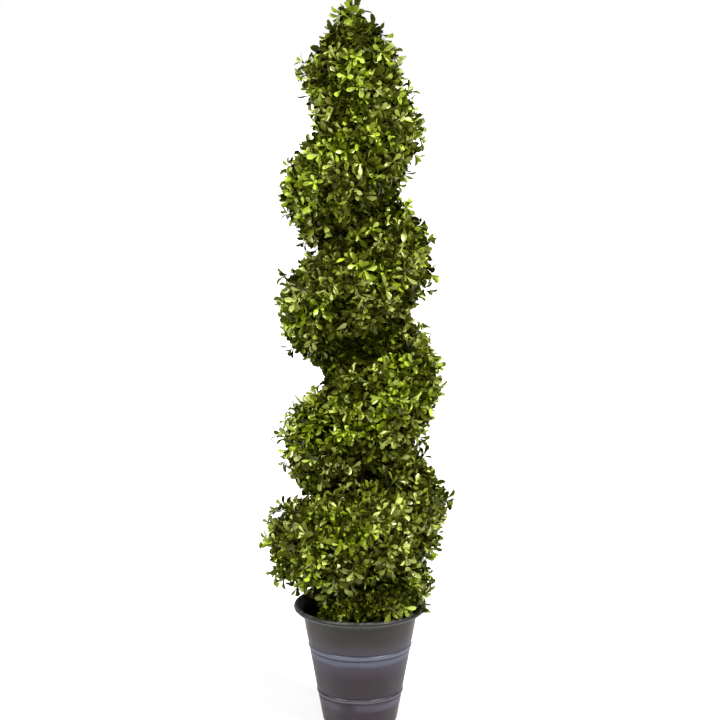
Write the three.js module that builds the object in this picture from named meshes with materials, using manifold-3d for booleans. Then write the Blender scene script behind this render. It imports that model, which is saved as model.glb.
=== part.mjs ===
// A spiral topiary of small-leaved box, made to stand in its own ribbed planter. Sizes are in millimetres.
// +Z is up, the origin is the middle of the planter's flat underside, and the front faces -Y.
// The foliage is one thick strand that winds up the stem, anticlockwise as seen from above.
// It is divided into half turns, behind and in front of the stem, with a tip that closes the top.

import * as THREE from "three";
import { mergeVertices } from "three/addons/utils/BufferGeometryUtils.js";
import Module from "manifold-3d";

const wasm = await Module();
wasm.setup();

// Whole plant
const HEIGHT = 1219; // underside of the planter to the highest leaf
const LEAN = 10; // how far the tip stands to the left of the foot, on a gentle bend
const CLEARANCE = 0.3; // between solids that rest on or in each other
const FINEST = 0.02; // shorter edges of a fused mass are dropped

// Planter: a tapered bucket with a beaded lip on a flare, and two double ribs
const POT_HEIGHT = 207.5;
const POT_SIDES = 32;
const POT_FOOT_RADIUS = 63; // where the wall's line meets the ground
const POT_TAPER = 0.182; // growth of the radius for each millimetre up
const POT_WALL = 3;
const POT_FLOOR = 5;
const FOOT_ROUNDING = 6;
const FOOT_MIDWAY = 1 - Math.SQRT1_2; // where the rounding's middle lies between its ends
const BEAD_RADIUS = 4.5;
const BEAD_OVERHANG = 8.8; // centre of the bead, outside the wall's line
const BEAD_POINTS = 6;
const BEAD_START = -0.75 * Math.PI; // where the flare meets the bead from below
const BEAD_SWEEP = 1.5 * Math.PI; // round to the inside
const COLLAR_DROP = 14; // from the lip's top down to the slim ridge under its flare
const COLLAR_DEPTH = 1.2;
const COLLAR_WIDTH = 2.4; // from the slim ridge to where it meets the wall
const RIB_HEIGHTS = [54.5, 136]; // middle of each double rib
const RIB_SPACING = 10; // between the two grooves of a double rib
const RIB_DEPTH = 1.2;
const RIB_EDGE = 1.8; // from the middle of a groove to its edge

// Potting fill, with a socket that holds the stem
const FILL_TOP = 168;
const FILL_DOME = 6;
const DOME_MIDWAY = { radius: 0.5, rise: 0.7 }; // of the wall's radius and the dome's height
const SOCKET_DEPTH = 70;

// Stem
const STEM_SIDES = 12;
const STEM_FOOT_RADIUS = 11;
const STEM_TIP_RADIUS = 5;
const STEM_TOP = 1150;
const STEM_RINGS = 7; // along its bend
const STEM_ROOM = 0.5; // kept free round it in the foliage

// Foliage strand: the height of its middle and the reach of its leaves at each half turn,
// from the left of the first, low half turn in front of the stem, then right, left and so on.
const FIRST_TURN = -0.5;
const MIDDLE_HEIGHTS = [216, 242, 314, 384, 490, 600, 719, 808, 908, 1020, 1106, 1150, 1170];
const LEAF_REACHES = [78, 114, 158, 148, 130, 142, 133, 122, 125, 108, 80, 66, 48];
const LAST_TURN = 4.5;
const HALF_TURNS = 10;
const STRAND_THICKNESS = 176;
const THIN_SHARE = 0.62; // the strand's radius as a share of its reach, where that is thinner
const THIN_EXTRA = 8;
const FOLIAGE_LIFT = 3; // from the fill up to the lowest foliage
const LEAFY_DEPTH = 15; // from the core's surface out to the clipped face of the foliage
const NECK_SHARE = 0.9; // the core's waist between two turns, as a share of the strand's offset
const NECK_LEAST = 14;
const CORE_GAP = 3; // from the core to the border of its half turn
const SPLIT_GAP = 0.5; // from each half turn to the upright plane that parts them
const CORE_STEPS = 6; // round each half turn
const CORE_ARC_POINTS = 6;
const CORE_INNER_RADIUS = 4; // inside the room that is cut for the stem
const CORE_EDGE = 0.5; // from the core's curved face to its flat floor and ceiling
const NECK_STEP = 2; // least swelling of the core's face past its waist
const CORE_LUMP = 4; // how far the clipped face swells and dips
const LUMP_WAVE = 26; // radians of that swelling in one turn
const LUMP_SHIFT = 2.4; // and from one point of the outline to the next

// Tip: a blunt cone over the last turn
const TIP_SHOULDER_HEIGHT = 1106;
const TIP_SHOULDER_RADIUS = 76;
const TIP_SHOULDER_ROUNDING = 13; // above and below the shoulder
const TIP_SKIRT_TAPER = 20; // how much narrower it gets below the shoulder in a cone's height
const TIP_CROWN_RADIUS = 12;
const TIP_CORE_TOP = 1190;
const TIP_UNDERSIDE_RADIUS = 100; // wider than the tip
const TIP_UNDERSIDE_DROP = 10; // deeper than it
const TIP_SPRIG_RINGS = [
  { height: 1066, count: 7 },
  { height: 1100, count: 7 },
  { height: 1134, count: 5 },
  { height: 1164, count: 4 },
];
const TIP_CORE_SIDES = 14;
const TIP_STEP_MARGIN = 8;
const TIP_ROOT_DEPTH = 1; // of a sprig in the core's face
const TIP_SPRIG_WAY = { outward: 0.9, up: 0.25 };
const TOP_ROOT_DEPTH = 2;
const TOP_SPRIG_SPIN = 0.4;

// Sprigs: a three-sided twig with a whorl of three leaves and one at its tip
const TWIG_RADIUS = 6;
const TWIG_LENGTH = 16;
const TWIG_ROOT = 8; // sunk in the core
const LEAF_LENGTH = 34;
const LEAF_WIDTH = 20;
const LEAF_THICKNESS = 2;
const LEAF_WIDEST = 0.62; // of the way along the leaf
const LEAF_CUP = 0.9; // how far its middle stands out of its plane
const LEAVES_IN_WHORL = 3;
const LEAF_ROOT = 3; // how far a leaf passes the middle of its twig
const WHORL_HEIGHT = 4;
const WHORL_TILT = 1;
const TIP_LEAF_HEIGHT = 9;
const TIP_LEAF_TILT = 0.2;
const TIP_LEAF_SIZE = 0.7; // of a whorl leaf's
const SPRIG_SPACING = 90; // along the strand
const SPRIG_COVER = 0.86; // share of the strand's outer length that the columns take up
const SPRIG_ROWS = 3; // across it, and one more in every second column
const SPRIG_MARGIN = 12; // from a row to the border above or below
const STRAY_LENGTH = 20; // how much further the outermost sprig of each half turn grows
const STEEPEST_SPRIG = 1.35;
const SPRIG_UPWARD = 0.3; // how much a sprig leans up from the foliage's face
const SPRIG_JITTER = 0.2;
const PLACE_JITTER = 0.3; // of the step from one column to the next
const SIZE_JITTER = 0.2;
const TILT_JITTER = 0.3;
const BORDER = 1.2; // kept free inside the space of each half turn
const STEM_MARGIN = 3; // from the leaves to the stem
const LIP_MARGIN = 4; // from the leaves to the planter's lip and wall
const SEED = 20318;

const finish = (color, roughness) => new THREE.MeshStandardMaterial({ color, roughness });
const SLATE_PAINT = finish(0x4d494e, 0.45);
const DARK_FILL = finish(0x1d1812, 0.95);
const BROWN_BARK = finish(0x3a2c1e, 0.9);
const LEAF_GREEN = finish(0x5f7d1e, 0.5);
const SPRING_GREEN = finish(0x7c9a2c, 0.5);

// A repeatable source of numbers from 0 to 1.
function seededRandom(seed) {
  let state = seed;
  return () => {
    state = (state + 0x6d2b79f5) | 0;
    let mixed = Math.imul(state ^ (state >>> 15), 1 | state);
    mixed = (mixed + Math.imul(mixed ^ (mixed >>> 7), 61 | mixed)) ^ mixed;
    return ((mixed ^ (mixed >>> 14)) >>> 0) / 4294967296;
  };
}

// A closed geometry as a solid that can be joined and cut.
function solidOf(geometry) {
  const bare = geometry.clone();
  bare.deleteAttribute("normal");
  bare.deleteAttribute("uv");
  const merged = mergeVertices(bare, 1e-4);
  return new wasm.Manifold(
    new wasm.Mesh({
      numProp: 3,
      vertProperties: new Float32Array(merged.attributes.position.array),
      triVerts: new Uint32Array(merged.index.array),
    }),
  );
}

// A solid as a geometry for a mesh.
function geometryOf(solid) {
  const mesh = solid.getMesh();
  const positions = new Float32Array(mesh.numVert * 3);
  for (let i = 0; i < mesh.numVert; i += 1) {
    positions.set(mesh.vertProperties.subarray(i * mesh.numProp, i * mesh.numProp + 3), i * 3);
  }
  const geometry = new THREE.BufferGeometry();
  geometry.setAttribute("position", new THREE.BufferAttribute(positions, 3));
  geometry.setIndex(new THREE.BufferAttribute(new Uint32Array(mesh.triVerts), 1));
  return geometry;
}

// The plant bends as one: each level shifts to the left, more and more towards the top.
function leanAt(height) {
  const share = Math.max(0, height - FILL_TOP) / (HEIGHT - FILL_TOP);
  return -LEAN * share * share;
}

function leaning(geometry) {
  const position = geometry.attributes.position;
  for (let i = 0; i < position.count; i += 1) {
    position.setX(i, position.getX(i) + leanAt(position.getZ(i)));
  }
  return geometry;
}

function namedMesh(name, geometry, material) {
  geometry.computeVertexNormals();
  const mesh = new THREE.Mesh(geometry, material);
  mesh.name = name;
  return mesh;
}

// A turned solid about the Z axis, from a profile of [radius, height] pairs.
function turned(profile, sides) {
  const points = profile.map(([radius, height]) => new THREE.Vector2(radius, height));
  return new THREE.LatheGeometry(points, sides).rotateX(Math.PI / 2);
}

// A closed skin through a row of outlines with the same number of points, capped at both ends.
// The upper half of the skin is split the other way, so one turn's top lies along the next one's floor.
function loft(outlines) {
  const count = outlines[0].length;
  const indices = [];
  for (let row = 0; row + 1 < outlines.length; row += 1) {
    for (let i = 0; i < count; i += 1) {
      const here = row * count + i;
      const beside = row * count + ((i + 1) % count);
      const above = here + count;
      const aboveBeside = beside + count;
      if (i < Math.floor(count / 2)) indices.push(here, aboveBeside, beside, here, above, aboveBeside);
      else indices.push(here, above, beside, beside, above, aboveBeside);
    }
  }
  const flat = outlines[0].map((p) => new THREE.Vector2(Math.hypot(p.x, p.y), p.z));
  const last = (outlines.length - 1) * count;
  for (const [a, b, c] of THREE.ShapeUtils.triangulateShape(flat, [])) {
    indices.push(a, b, c, last + a, last + c, last + b);
  }
  const geometry = new THREE.BufferGeometry();
  const positions = outlines.flat().flatMap((p) => [p.x, p.y, p.z]);
  geometry.setAttribute("position", new THREE.Float32BufferAttribute(positions, 3));
  geometry.setIndex(indices);
  return geometry;
}

function potRadius(height) {
  return POT_FOOT_RADIUS + POT_TAPER * height;
}

// Planter
function potGeometry() {
  const rounding = FOOT_ROUNDING * FOOT_MIDWAY;
  const profile = [[0, 0], [potRadius(0) - FOOT_ROUNDING, 0]];
  profile.push([potRadius(FOOT_ROUNDING) - rounding, rounding]);
  profile.push([potRadius(FOOT_ROUNDING), FOOT_ROUNDING]);
  for (const middle of RIB_HEIGHTS) {
    const groove = RIB_SPACING / 2;
    const edge = groove + RIB_EDGE;
    profile.push([potRadius(middle - edge), middle - edge]);
    profile.push([potRadius(middle - groove) - RIB_DEPTH, middle - groove]);
    profile.push([potRadius(middle) + RIB_DEPTH, middle]);
    profile.push([potRadius(middle + groove) - RIB_DEPTH, middle + groove]);
    profile.push([potRadius(middle + edge), middle + edge]);
  }
  const collar = POT_HEIGHT - COLLAR_DROP;
  profile.push([potRadius(collar - COLLAR_WIDTH), collar - COLLAR_WIDTH]);
  profile.push([potRadius(collar) + COLLAR_DEPTH, collar]);
  profile.push([potRadius(collar + COLLAR_WIDTH), collar + COLLAR_WIDTH]);
  const beadCentre = POT_HEIGHT - BEAD_RADIUS;
  const beadMiddle = potRadius(beadCentre) + BEAD_OVERHANG;
  for (let i = 0; i <= BEAD_POINTS; i += 1) {
    const angle = BEAD_START + (i / BEAD_POINTS) * BEAD_SWEEP;
    profile.push([beadMiddle + BEAD_RADIUS * Math.cos(angle), beadCentre + BEAD_RADIUS * Math.sin(angle)]);
  }
  profile.push([potRadius(collar) - POT_WALL, collar]);
  profile.push([potRadius(POT_FLOOR) - POT_WALL, POT_FLOOR]);
  profile.push([0, POT_FLOOR]);
  return turned(profile, POT_SIDES);
}

// Potting fill, a little domed, with the stem's socket in its middle
function fillGeometry() {
  const bottom = POT_FLOOR + CLEARANCE;
  const wallGap = POT_WALL + CLEARANCE;
  const socketRadius = STEM_FOOT_RADIUS + CLEARANCE;
  const domeRadius = potRadius(FILL_TOP) * DOME_MIDWAY.radius;
  return turned(
    [
      [0, bottom],
      [potRadius(bottom) - wallGap - CLEARANCE, bottom],
      [potRadius(FILL_TOP) - wallGap - CLEARANCE, FILL_TOP],
      [domeRadius, FILL_TOP + FILL_DOME * DOME_MIDWAY.rise],
      [socketRadius, FILL_TOP + FILL_DOME],
      [socketRadius, FILL_TOP - SOCKET_DEPTH],
      [0, FILL_TOP - SOCKET_DEPTH],
    ],
    POT_SIDES,
  );
}

// Stem, or with a margin the room that the foliage leaves for it
const stemFoot = FILL_TOP - SOCKET_DEPTH + CLEARANCE;

function stemGeometry(margin = 0) {
  const top = STEM_TOP + margin;
  const profile = [[0, stemFoot - margin], [STEM_FOOT_RADIUS + margin, stemFoot - margin]];
  for (let ring = 0; ring <= STEM_RINGS; ring += 1) {
    const share = ring / STEM_RINGS;
    const radius = THREE.MathUtils.lerp(STEM_FOOT_RADIUS, STEM_TIP_RADIUS, share);
    profile.push([radius + margin, THREE.MathUtils.lerp(FILL_TOP, top, share)]);
  }
  profile.push([0, top]);
  return turned(profile, STEM_SIDES);
}

// Foliage strand: a measure at any turn, on a smooth curve through the half turns' values.
// Whole turns lie at the right of the stem.
function alongStrand(values, turn) {
  const place = (turn - FIRST_TURN) * 2;
  const i = Math.min(Math.max(Math.floor(place), 0), values.length - 2);
  const before = i > 0 ? values[i - 1] : 2 * values[0] - values[1];
  const after = i + 2 < values.length ? values[i + 2] : 2 * values[i + 1] - values[i];
  const t = place - i;
  const slopeHere = (values[i + 1] - before) / 2;
  const slopeNext = (after - values[i]) / 2;
  const rise = values[i + 1] - values[i];
  return (
    values[i] +
    slopeHere * t +
    (3 * rise - 2 * slopeHere - slopeNext) * t * t +
    (slopeHere + slopeNext - 2 * rise) * t * t * t
  );
}

const middleHeight = (turn) => alongStrand(MIDDLE_HEIGHTS, turn);
const leafReach = (turn) => alongStrand(LEAF_REACHES, turn);
const strandRadius = (turn) => Math.min(STRAND_THICKNESS / 2, leafReach(turn) * THIN_SHARE + THIN_EXTRA);
const coreRadius = (turn) => strandRadius(turn) - LEAFY_DEPTH;
const strandOffset = (turn) => leafReach(turn) - strandRadius(turn);
const neckRadius = (turn) => Math.max(NECK_LEAST, strandOffset(turn) * NECK_SHARE);

// A half turn that starts at the left of the stem passes in front of it.
const isFront = (from) => Math.abs(from % 1) === 0.5;

function spaceFloor(turn) {
  if (turn < FIRST_TURN + 1) return FILL_TOP + FILL_DOME + FOLIAGE_LIFT;
  return (middleHeight(turn - 1) + middleHeight(turn)) / 2;
}

function spaceCeiling(turn) {
  return (middleHeight(turn) + middleHeight(turn + 1)) / 2;
}

function around(turn, radius, height) {
  const angle = turn * 2 * Math.PI;
  return new THREE.Vector3(radius * Math.cos(angle), radius * Math.sin(angle), height);
}

// The core's outline in the upright half plane at one turn: from the stem out, round the lobe and back.
function coreOutline(turn) {
  const middle = middleHeight(turn);
  const radius = coreRadius(turn);
  const offset = strandOffset(turn);
  const low = spaceFloor(turn) + CORE_GAP;
  const high = spaceCeiling(turn) - CORE_GAP;
  const lowAngle = Math.asin(Math.max(-1, (low - middle) / radius));
  const highAngle = Math.asin(Math.min(1, (high - middle) / radius));
  const neck = neckRadius(turn);
  const outline = [around(turn, CORE_INNER_RADIUS, low), around(turn, neck, low)];
  for (let i = 0; i < CORE_ARC_POINTS; i += 1) {
    const angle = lowAngle + ((highAngle - lowAngle) * i) / (CORE_ARC_POINTS - 1);
    const lumpy = radius + CORE_LUMP * Math.sin(turn * LUMP_WAVE + i * LUMP_SHIFT);
    const reach = Math.max(neck + NECK_STEP, offset + lumpy * Math.cos(angle));
    const height = THREE.MathUtils.clamp(middle + lumpy * Math.sin(angle), low + CORE_EDGE, high - CORE_EDGE);
    outline.push(around(turn, reach, height));
  }
  outline.push(around(turn, neck, high), around(turn, CORE_INNER_RADIUS, high));
  return outline;
}

// A half turn's skin through its outlines, with each flat end brought in from the split plane, or past it.
function halfTurn(from, outlineAt, inset) {
  const outlines = [];
  for (let step = 0; step <= CORE_STEPS; step += 1) {
    outlines.push(outlineAt(from + step / CORE_STEPS / 2));
  }
  const end = isFront(from) ? -inset : inset;
  for (const outline of [outlines[0], outlines[CORE_STEPS]]) outline.forEach((point) => point.setY(end));
  return solidOf(loft(outlines));
}

// The tip's face: a cone from its shoulder to its rounded crown
function tipRadius(height) {
  const share = (height - TIP_SHOULDER_HEIGHT) / (HEIGHT - TIP_SHOULDER_HEIGHT);
  if (share < 0) return TIP_SHOULDER_RADIUS + share * TIP_SKIRT_TAPER;
  return THREE.MathUtils.lerp(TIP_SHOULDER_RADIUS, TIP_CROWN_RADIUS, share);
}

// The tip stands on the last whole turn below it.
const TIP_FLOOR_FROM = LAST_TURN - 1;

function tipCore() {
  const bottom = spaceCeiling(TIP_FLOOR_FROM);
  const underShoulder = TIP_SHOULDER_HEIGHT - TIP_SHOULDER_ROUNDING;
  const overShoulder = TIP_SHOULDER_HEIGHT + TIP_SHOULDER_ROUNDING;
  const midway = (TIP_SHOULDER_HEIGHT + TIP_CORE_TOP) / 2;
  const profile = [[0, bottom]];
  for (const height of [bottom, underShoulder, overShoulder, midway, TIP_CORE_TOP]) {
    profile.push([tipRadius(height) - LEAFY_DEPTH, height]);
  }
  profile.push([0, TIP_CORE_TOP]);
  const underside = (turn) => {
    const ceiling = spaceCeiling(turn) + 2 * CORE_GAP;
    const section = [
      [CORE_INNER_RADIUS, bottom - TIP_UNDERSIDE_DROP],
      [TIP_UNDERSIDE_RADIUS, bottom - TIP_UNDERSIDE_DROP],
      [TIP_UNDERSIDE_RADIUS, ceiling],
      [neckRadius(turn), ceiling],
      [CORE_INNER_RADIUS, ceiling],
    ];
    return section.map(([radius, height]) => around(turn, radius, height));
  };
  return solidOf(turned(profile, TIP_CORE_SIDES))
    .subtract(halfTurn(TIP_FLOOR_FROM, underside, -SPLIT_GAP))
    .subtract(halfTurn(TIP_FLOOR_FROM + 0.5, underside, -SPLIT_GAP));
}

// A leaf of eight faces along +Z, widest past its middle and slightly cupped.
function leafGeometry(size) {
  const geometry = new THREE.OctahedronGeometry(1, 0);
  const position = geometry.attributes.position;
  for (let i = 0; i < position.count; i += 1) {
    const side = position.getX(i);
    const face = position.getY(i);
    const along = position.getZ(i);
    const share = along === 0 ? LEAF_WIDEST : (along + 1) / 2;
    const cup = along === 0 && face === 0 ? LEAF_CUP : 0;
    position.setXYZ(
      i,
      (side * LEAF_WIDTH * size) / 2,
      (face * LEAF_THICKNESS) / 2 + cup,
      share * LEAF_LENGTH * size,
    );
  }
  return geometry;
}

// A sprig's solids in the plant's frame: the twig, longer on a stray, and each leaf that stays in its space.
function sprigSolids(root, outward, spin, random, fits, stray = 0) {
  const stance = new THREE.Matrix4().compose(
    root,
    new THREE.Quaternion()
      .setFromUnitVectors(new THREE.Vector3(0, 0, 1), outward)
      .multiply(new THREE.Quaternion().setFromAxisAngle(new THREE.Vector3(0, 0, 1), spin)),
    new THREE.Vector3(1, 1, 1),
  );
  const length = TWIG_ROOT + TWIG_LENGTH + stray;
  const twig = new THREE.ConeGeometry(TWIG_RADIUS, length, 3)
    .rotateX(Math.PI / 2)
    .translate(0, 0, length / 2 - TWIG_ROOT)
    .applyMatrix4(stance);
  const leaves = [];
  const addLeaf = (height, azimuth, tilt, size) => {
    const leaf = leafGeometry(size * (1 + (random() - 0.5) * SIZE_JITTER))
      .translate(0, 0, -LEAF_ROOT)
      .rotateX(-tilt - (random() - 0.5) * TILT_JITTER)
      .rotateZ(azimuth)
      .translate(0, 0, height + stray)
      .applyMatrix4(stance);
    if (fits(leaf)) leaves.push(leaf);
  };
  for (let i = 0; i < LEAVES_IN_WHORL; i += 1) {
    addLeaf(WHORL_HEIGHT, (i * 2 * Math.PI) / LEAVES_IN_WHORL, WHORL_TILT, 1);
  }
  addLeaf(TIP_LEAF_HEIGHT, Math.PI * random(), TIP_LEAF_TILT, TIP_LEAF_SIZE);
  return leaves.length && fits(twig) ? [twig, ...leaves].map(solidOf) : [];
}

// The corners of a solid's faces and the middles of their edges.
function facePoints(geometry) {
  const position = (geometry.index ? geometry.toNonIndexed() : geometry).attributes.position;
  const points = [];
  for (let face = 0; face < position.count; face += 3) {
    for (let corner = 0; corner < 3; corner += 1) {
      const here = new THREE.Vector3().fromBufferAttribute(position, face + corner);
      const next = new THREE.Vector3().fromBufferAttribute(position, face + ((corner + 1) % 3));
      points.push(here, here.clone().lerp(next, 0.5));
    }
  }
  return points;
}

// Whether a leaf keeps to its half turn's room between the stem, the planter and the borders.
function fitsBetween(from, to) {
  return (geometry) =>
    facePoints(geometry).every(({ x, y, z }) => {
      const radius = Math.hypot(x, y);
      const lap = Math.atan2(y, x) / (2 * Math.PI);
      const turn = lap + Math.round((from + to) / 2 - lap);
      const edge = BORDER / (2 * Math.PI * Math.max(radius, 1));
      if (turn < from + edge || turn > to - edge) return false;
      if (z < spaceFloor(turn) + BORDER || z > spaceCeiling(turn) - BORDER) return false;
      if (radius < STEM_FOOT_RADIUS + STEM_MARGIN) return false;
      return z > POT_HEIGHT + LIP_MARGIN || radius < potRadius(FILL_TOP) - POT_WALL - LIP_MARGIN;
    });
}

// Whether a leaf of the tip stays above the last turn and under the plant's full height.
// The floor has a step at the left of the stem, where the strand ends, and leaves keep well away from it.
function fitsTip(geometry) {
  return facePoints(geometry).every(({ x, y, z }) => {
    const lap = Math.atan2(y, x) / (2 * Math.PI);
    const turn = lap + Math.ceil(TIP_FLOOR_FROM - lap);
    const nearStep = x < 0 && Math.abs(y) < TIP_STEP_MARGIN;
    return z > spaceCeiling(nearStep ? LAST_TURN : turn) + BORDER && z < HEIGHT;
  });
}

function jittered(direction, random) {
  return direction
    .add(new THREE.Vector3(random() - 0.5, random() - 0.5, random() - 0.5).multiplyScalar(2 * SPRIG_JITTER))
    .add(new THREE.Vector3(0, 0, SPRIG_UPWARD))
    .normalize();
}

// Sprigs in staggered rows over the face of one half turn
function strandSprigs(from, to, random) {
  const fits = fitsBetween(from, to);
  const middle = (from + to) / 2;
  const outerLength = (to - from) * 2 * Math.PI * leafReach(middle);
  const columns = Math.round((outerLength * SPRIG_COVER) / SPRIG_SPACING);
  const solids = [];
  for (let column = 0; column < columns; column += 1) {
    const place = column + 0.5 + (random() - 0.5) * PLACE_JITTER;
    const turn = THREE.MathUtils.lerp(from, to, place / columns);
    const radius = coreRadius(turn);
    const offset = strandOffset(turn);
    const lowRoom = (middleHeight(turn) - spaceFloor(turn) - SPRIG_MARGIN) / radius;
    const highRoom = (spaceCeiling(turn) - middleHeight(turn) - SPRIG_MARGIN) / radius;
    const lowest = -Math.min(STEEPEST_SPRIG, Math.asin(Math.min(1, lowRoom)));
    const highest = Math.min(STEEPEST_SPRIG, Math.asin(Math.min(1, highRoom)));
    const rows = SPRIG_ROWS + (column % 2);
    const strayRow = column === Math.floor(columns / 2) ? Math.floor(rows / 2) : -1;
    for (let row = 0; row < rows; row += 1) {
      const slope = lowest + ((highest - lowest) * (row + 0.5)) / rows;
      const height = middleHeight(turn) + radius * Math.sin(slope);
      const root = around(turn, offset + radius * Math.cos(slope), height);
      const outward = around(turn, Math.cos(slope), Math.sin(slope));
      const way = jittered(outward, random);
      const stray = row === strayRow ? STRAY_LENGTH : 0;
      solids.push(...sprigSolids(root, way, random() * Math.PI, random, fits, stray));
    }
  }
  return solids;
}

// Sprigs in rings round the tip, and one at its very top
function tipSprigs(random) {
  const solids = [];
  for (const { height, count } of TIP_SPRIG_RINGS) {
    for (let i = 0; i < count; i += 1) {
      const turn = (i + 0.5 * (count % 2) + (random() - 0.5) * PLACE_JITTER) / count;
      const root = around(turn, tipRadius(height) - LEAFY_DEPTH - TIP_ROOT_DEPTH, height);
      const outward = around(turn, TIP_SPRIG_WAY.outward, TIP_SPRIG_WAY.up);
      solids.push(...sprigSolids(root, jittered(outward, random), random() * Math.PI, random, fitsTip));
    }
  }
  const topRoot = new THREE.Vector3(0, 0, TIP_CORE_TOP - TOP_ROOT_DEPTH);
  const straightUp = new THREE.Vector3(0, 0, 1);
  solids.push(...sprigSolids(topRoot, straightUp, TOP_SPRIG_SPIN, random, fitsTip));
  return solids;
}

// A foliage mass: core and sprigs fused, and cut clear of the stem
const stemRoom = solidOf(stemGeometry(STEM_ROOM));

function foliageGeometry(core, sprigs) {
  const fused = wasm.Manifold.union([core, ...sprigs]).subtract(stemRoom);
  const whole = fused.decompose().sort((a, b) => b.volume() - a.volume())[0];
  return leaning(geometryOf(whole.simplify(FINEST)));
}

const topiary = new THREE.Group();
topiary.add(namedMesh("pot", potGeometry(), SLATE_PAINT));
topiary.add(namedMesh("potting_fill", fillGeometry(), DARK_FILL));
topiary.add(namedMesh("stem", leaning(stemGeometry()), BROWN_BARK));

const random = seededRandom(SEED);
for (let half = 0; half < HALF_TURNS; half += 1) {
  const from = FIRST_TURN + half / 2;
  const to = from + 0.5;
  const turnNumber = Math.ceil(half / 2);
  const side = isFront(from) ? "front" : "back";
  const name = half === 0 ? "foliage_base" : `foliage_turn_${turnNumber}_${side}`;
  const sprigs = strandSprigs(from, to, random);
  const core = halfTurn(from, coreOutline, SPLIT_GAP);
  topiary.add(namedMesh(name, foliageGeometry(core, sprigs), isFront(from) ? LEAF_GREEN : SPRING_GREEN));
}
const tip = foliageGeometry(tipCore(), tipSprigs(random));
topiary.add(namedMesh("foliage_tip", tip, SPRING_GREEN));

export default topiary;
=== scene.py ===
"""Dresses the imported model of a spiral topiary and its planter. All lengths are in metres.

The plant stands on the origin, +Z is up and its front faces -Y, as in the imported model.
"""

from __future__ import annotations

import logging
import math
from collections.abc import Mapping, Sequence
from dataclasses import dataclass, field
from enum import Enum
from typing import Any

import bpy
import numpy as np
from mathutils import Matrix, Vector, noise

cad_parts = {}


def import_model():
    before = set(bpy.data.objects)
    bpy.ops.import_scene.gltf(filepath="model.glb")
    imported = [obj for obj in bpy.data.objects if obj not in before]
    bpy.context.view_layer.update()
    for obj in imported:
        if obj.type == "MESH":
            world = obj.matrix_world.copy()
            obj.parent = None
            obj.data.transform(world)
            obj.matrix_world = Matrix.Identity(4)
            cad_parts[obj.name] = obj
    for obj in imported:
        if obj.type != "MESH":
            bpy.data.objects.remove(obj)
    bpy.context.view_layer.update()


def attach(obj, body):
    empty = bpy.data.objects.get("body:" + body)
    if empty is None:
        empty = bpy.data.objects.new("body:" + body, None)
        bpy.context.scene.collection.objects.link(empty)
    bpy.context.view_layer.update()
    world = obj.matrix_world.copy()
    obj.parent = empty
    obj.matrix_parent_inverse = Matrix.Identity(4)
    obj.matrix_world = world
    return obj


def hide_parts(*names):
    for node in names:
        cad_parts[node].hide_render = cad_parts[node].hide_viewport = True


LOG = logging.getLogger("topiary")
BODY = "root"
FULL_TURN = 2 * math.pi
HALF_LAP = 0.5

Array = np.ndarray
Bend = tuple[Array, Array, Array]
Chance = np.random.Generator
Colour = tuple[float, float, float]
Point = tuple[float, float, float]
Range = tuple[float, float]
Socket = bpy.types.NodeSocket


class LeafTone(Enum):
    """How old a leaf is and how much light and shade is painted into it, which sets its green: SHADED is
    painted shade, and the lit tones are paler greens that paint light as well as younger growth.
    """

    SHADED = 0
    HALF_LIT_MATURE = 1
    LIT_FRESH = 2
    NEW = 3
    RUSTED = 4
    LUSH_HALF_LIT_MATURE = 5
    LUSH_LIT_FRESH = 6
    LUSH_FULLY_LIT_NEW = 7


class MassSide(Enum):
    """The side of the stem on which half a turn of the foliage passes."""

    FRONT = "front"
    BACK = "back"


def unit(vectors: Array) -> Array:
    """Scales vectors to length one.

    Args:
        vectors: Vectors along the last axis.

    Returns:
        The same directions, each one long.
    """
    lengths = np.linalg.norm(vectors, axis=-1, keepdims=True)
    return vectors / np.maximum(lengths, 1e-9)


def blend(first: Any, second: Any, share: Any) -> Any:
    """Mixes two values.

    Args:
        first: The value at share 0.
        second: The value at share 1.
        share: How far to go from the first to the second.

    Returns:
        The value between them.
    """
    return first + (second - first) * share


def swell(place: Any, middle: float, width: float) -> Any:
    """Draws a smooth swelling.

    Args:
        place: One place or an array of them.
        middle: The place where it is highest.
        width: How wide it is.

    Returns:
        Its height there, 1 in the middle and nearly 0 two widths away.
    """
    return np.exp(-(((place - middle) / width) ** 2))


def new_object(name: str, mesh: bpy.types.Mesh) -> bpy.types.Object:
    """Puts a mesh in the scene at the origin.

    Args:
        name: The object's name.
        mesh: Its mesh, with its place in its points.

    Returns:
        The new object.
    """
    made = bpy.data.objects.new(name, mesh)
    mesh.name = name
    bpy.context.scene.collection.objects.link(made)
    return made


def shade_smooth(mesh: bpy.types.Mesh) -> None:
    """Shades every face of a mesh smoothly."""
    mesh.polygons.foreach_set("use_smooth", [True] * len(mesh.polygons))


def store(mesh: bpy.types.Mesh, name: str, kind: str, values: Array) -> None:
    """Keeps one value for each point of a mesh.

    Args:
        mesh: The mesh that gets the attribute.
        name: The attribute's name.
        kind: Blender's name for its type, FLOAT, FLOAT_VECTOR or INT.
        values: The values, one row for each point.
    """
    layer = mesh.attributes.new(name, kind, "POINT")
    key = "vector" if kind == "FLOAT_VECTOR" else "value"
    number = np.int32 if kind == "INT" else np.float32
    layer.data.foreach_set(key, np.ascontiguousarray(values, number).ravel())


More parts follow.
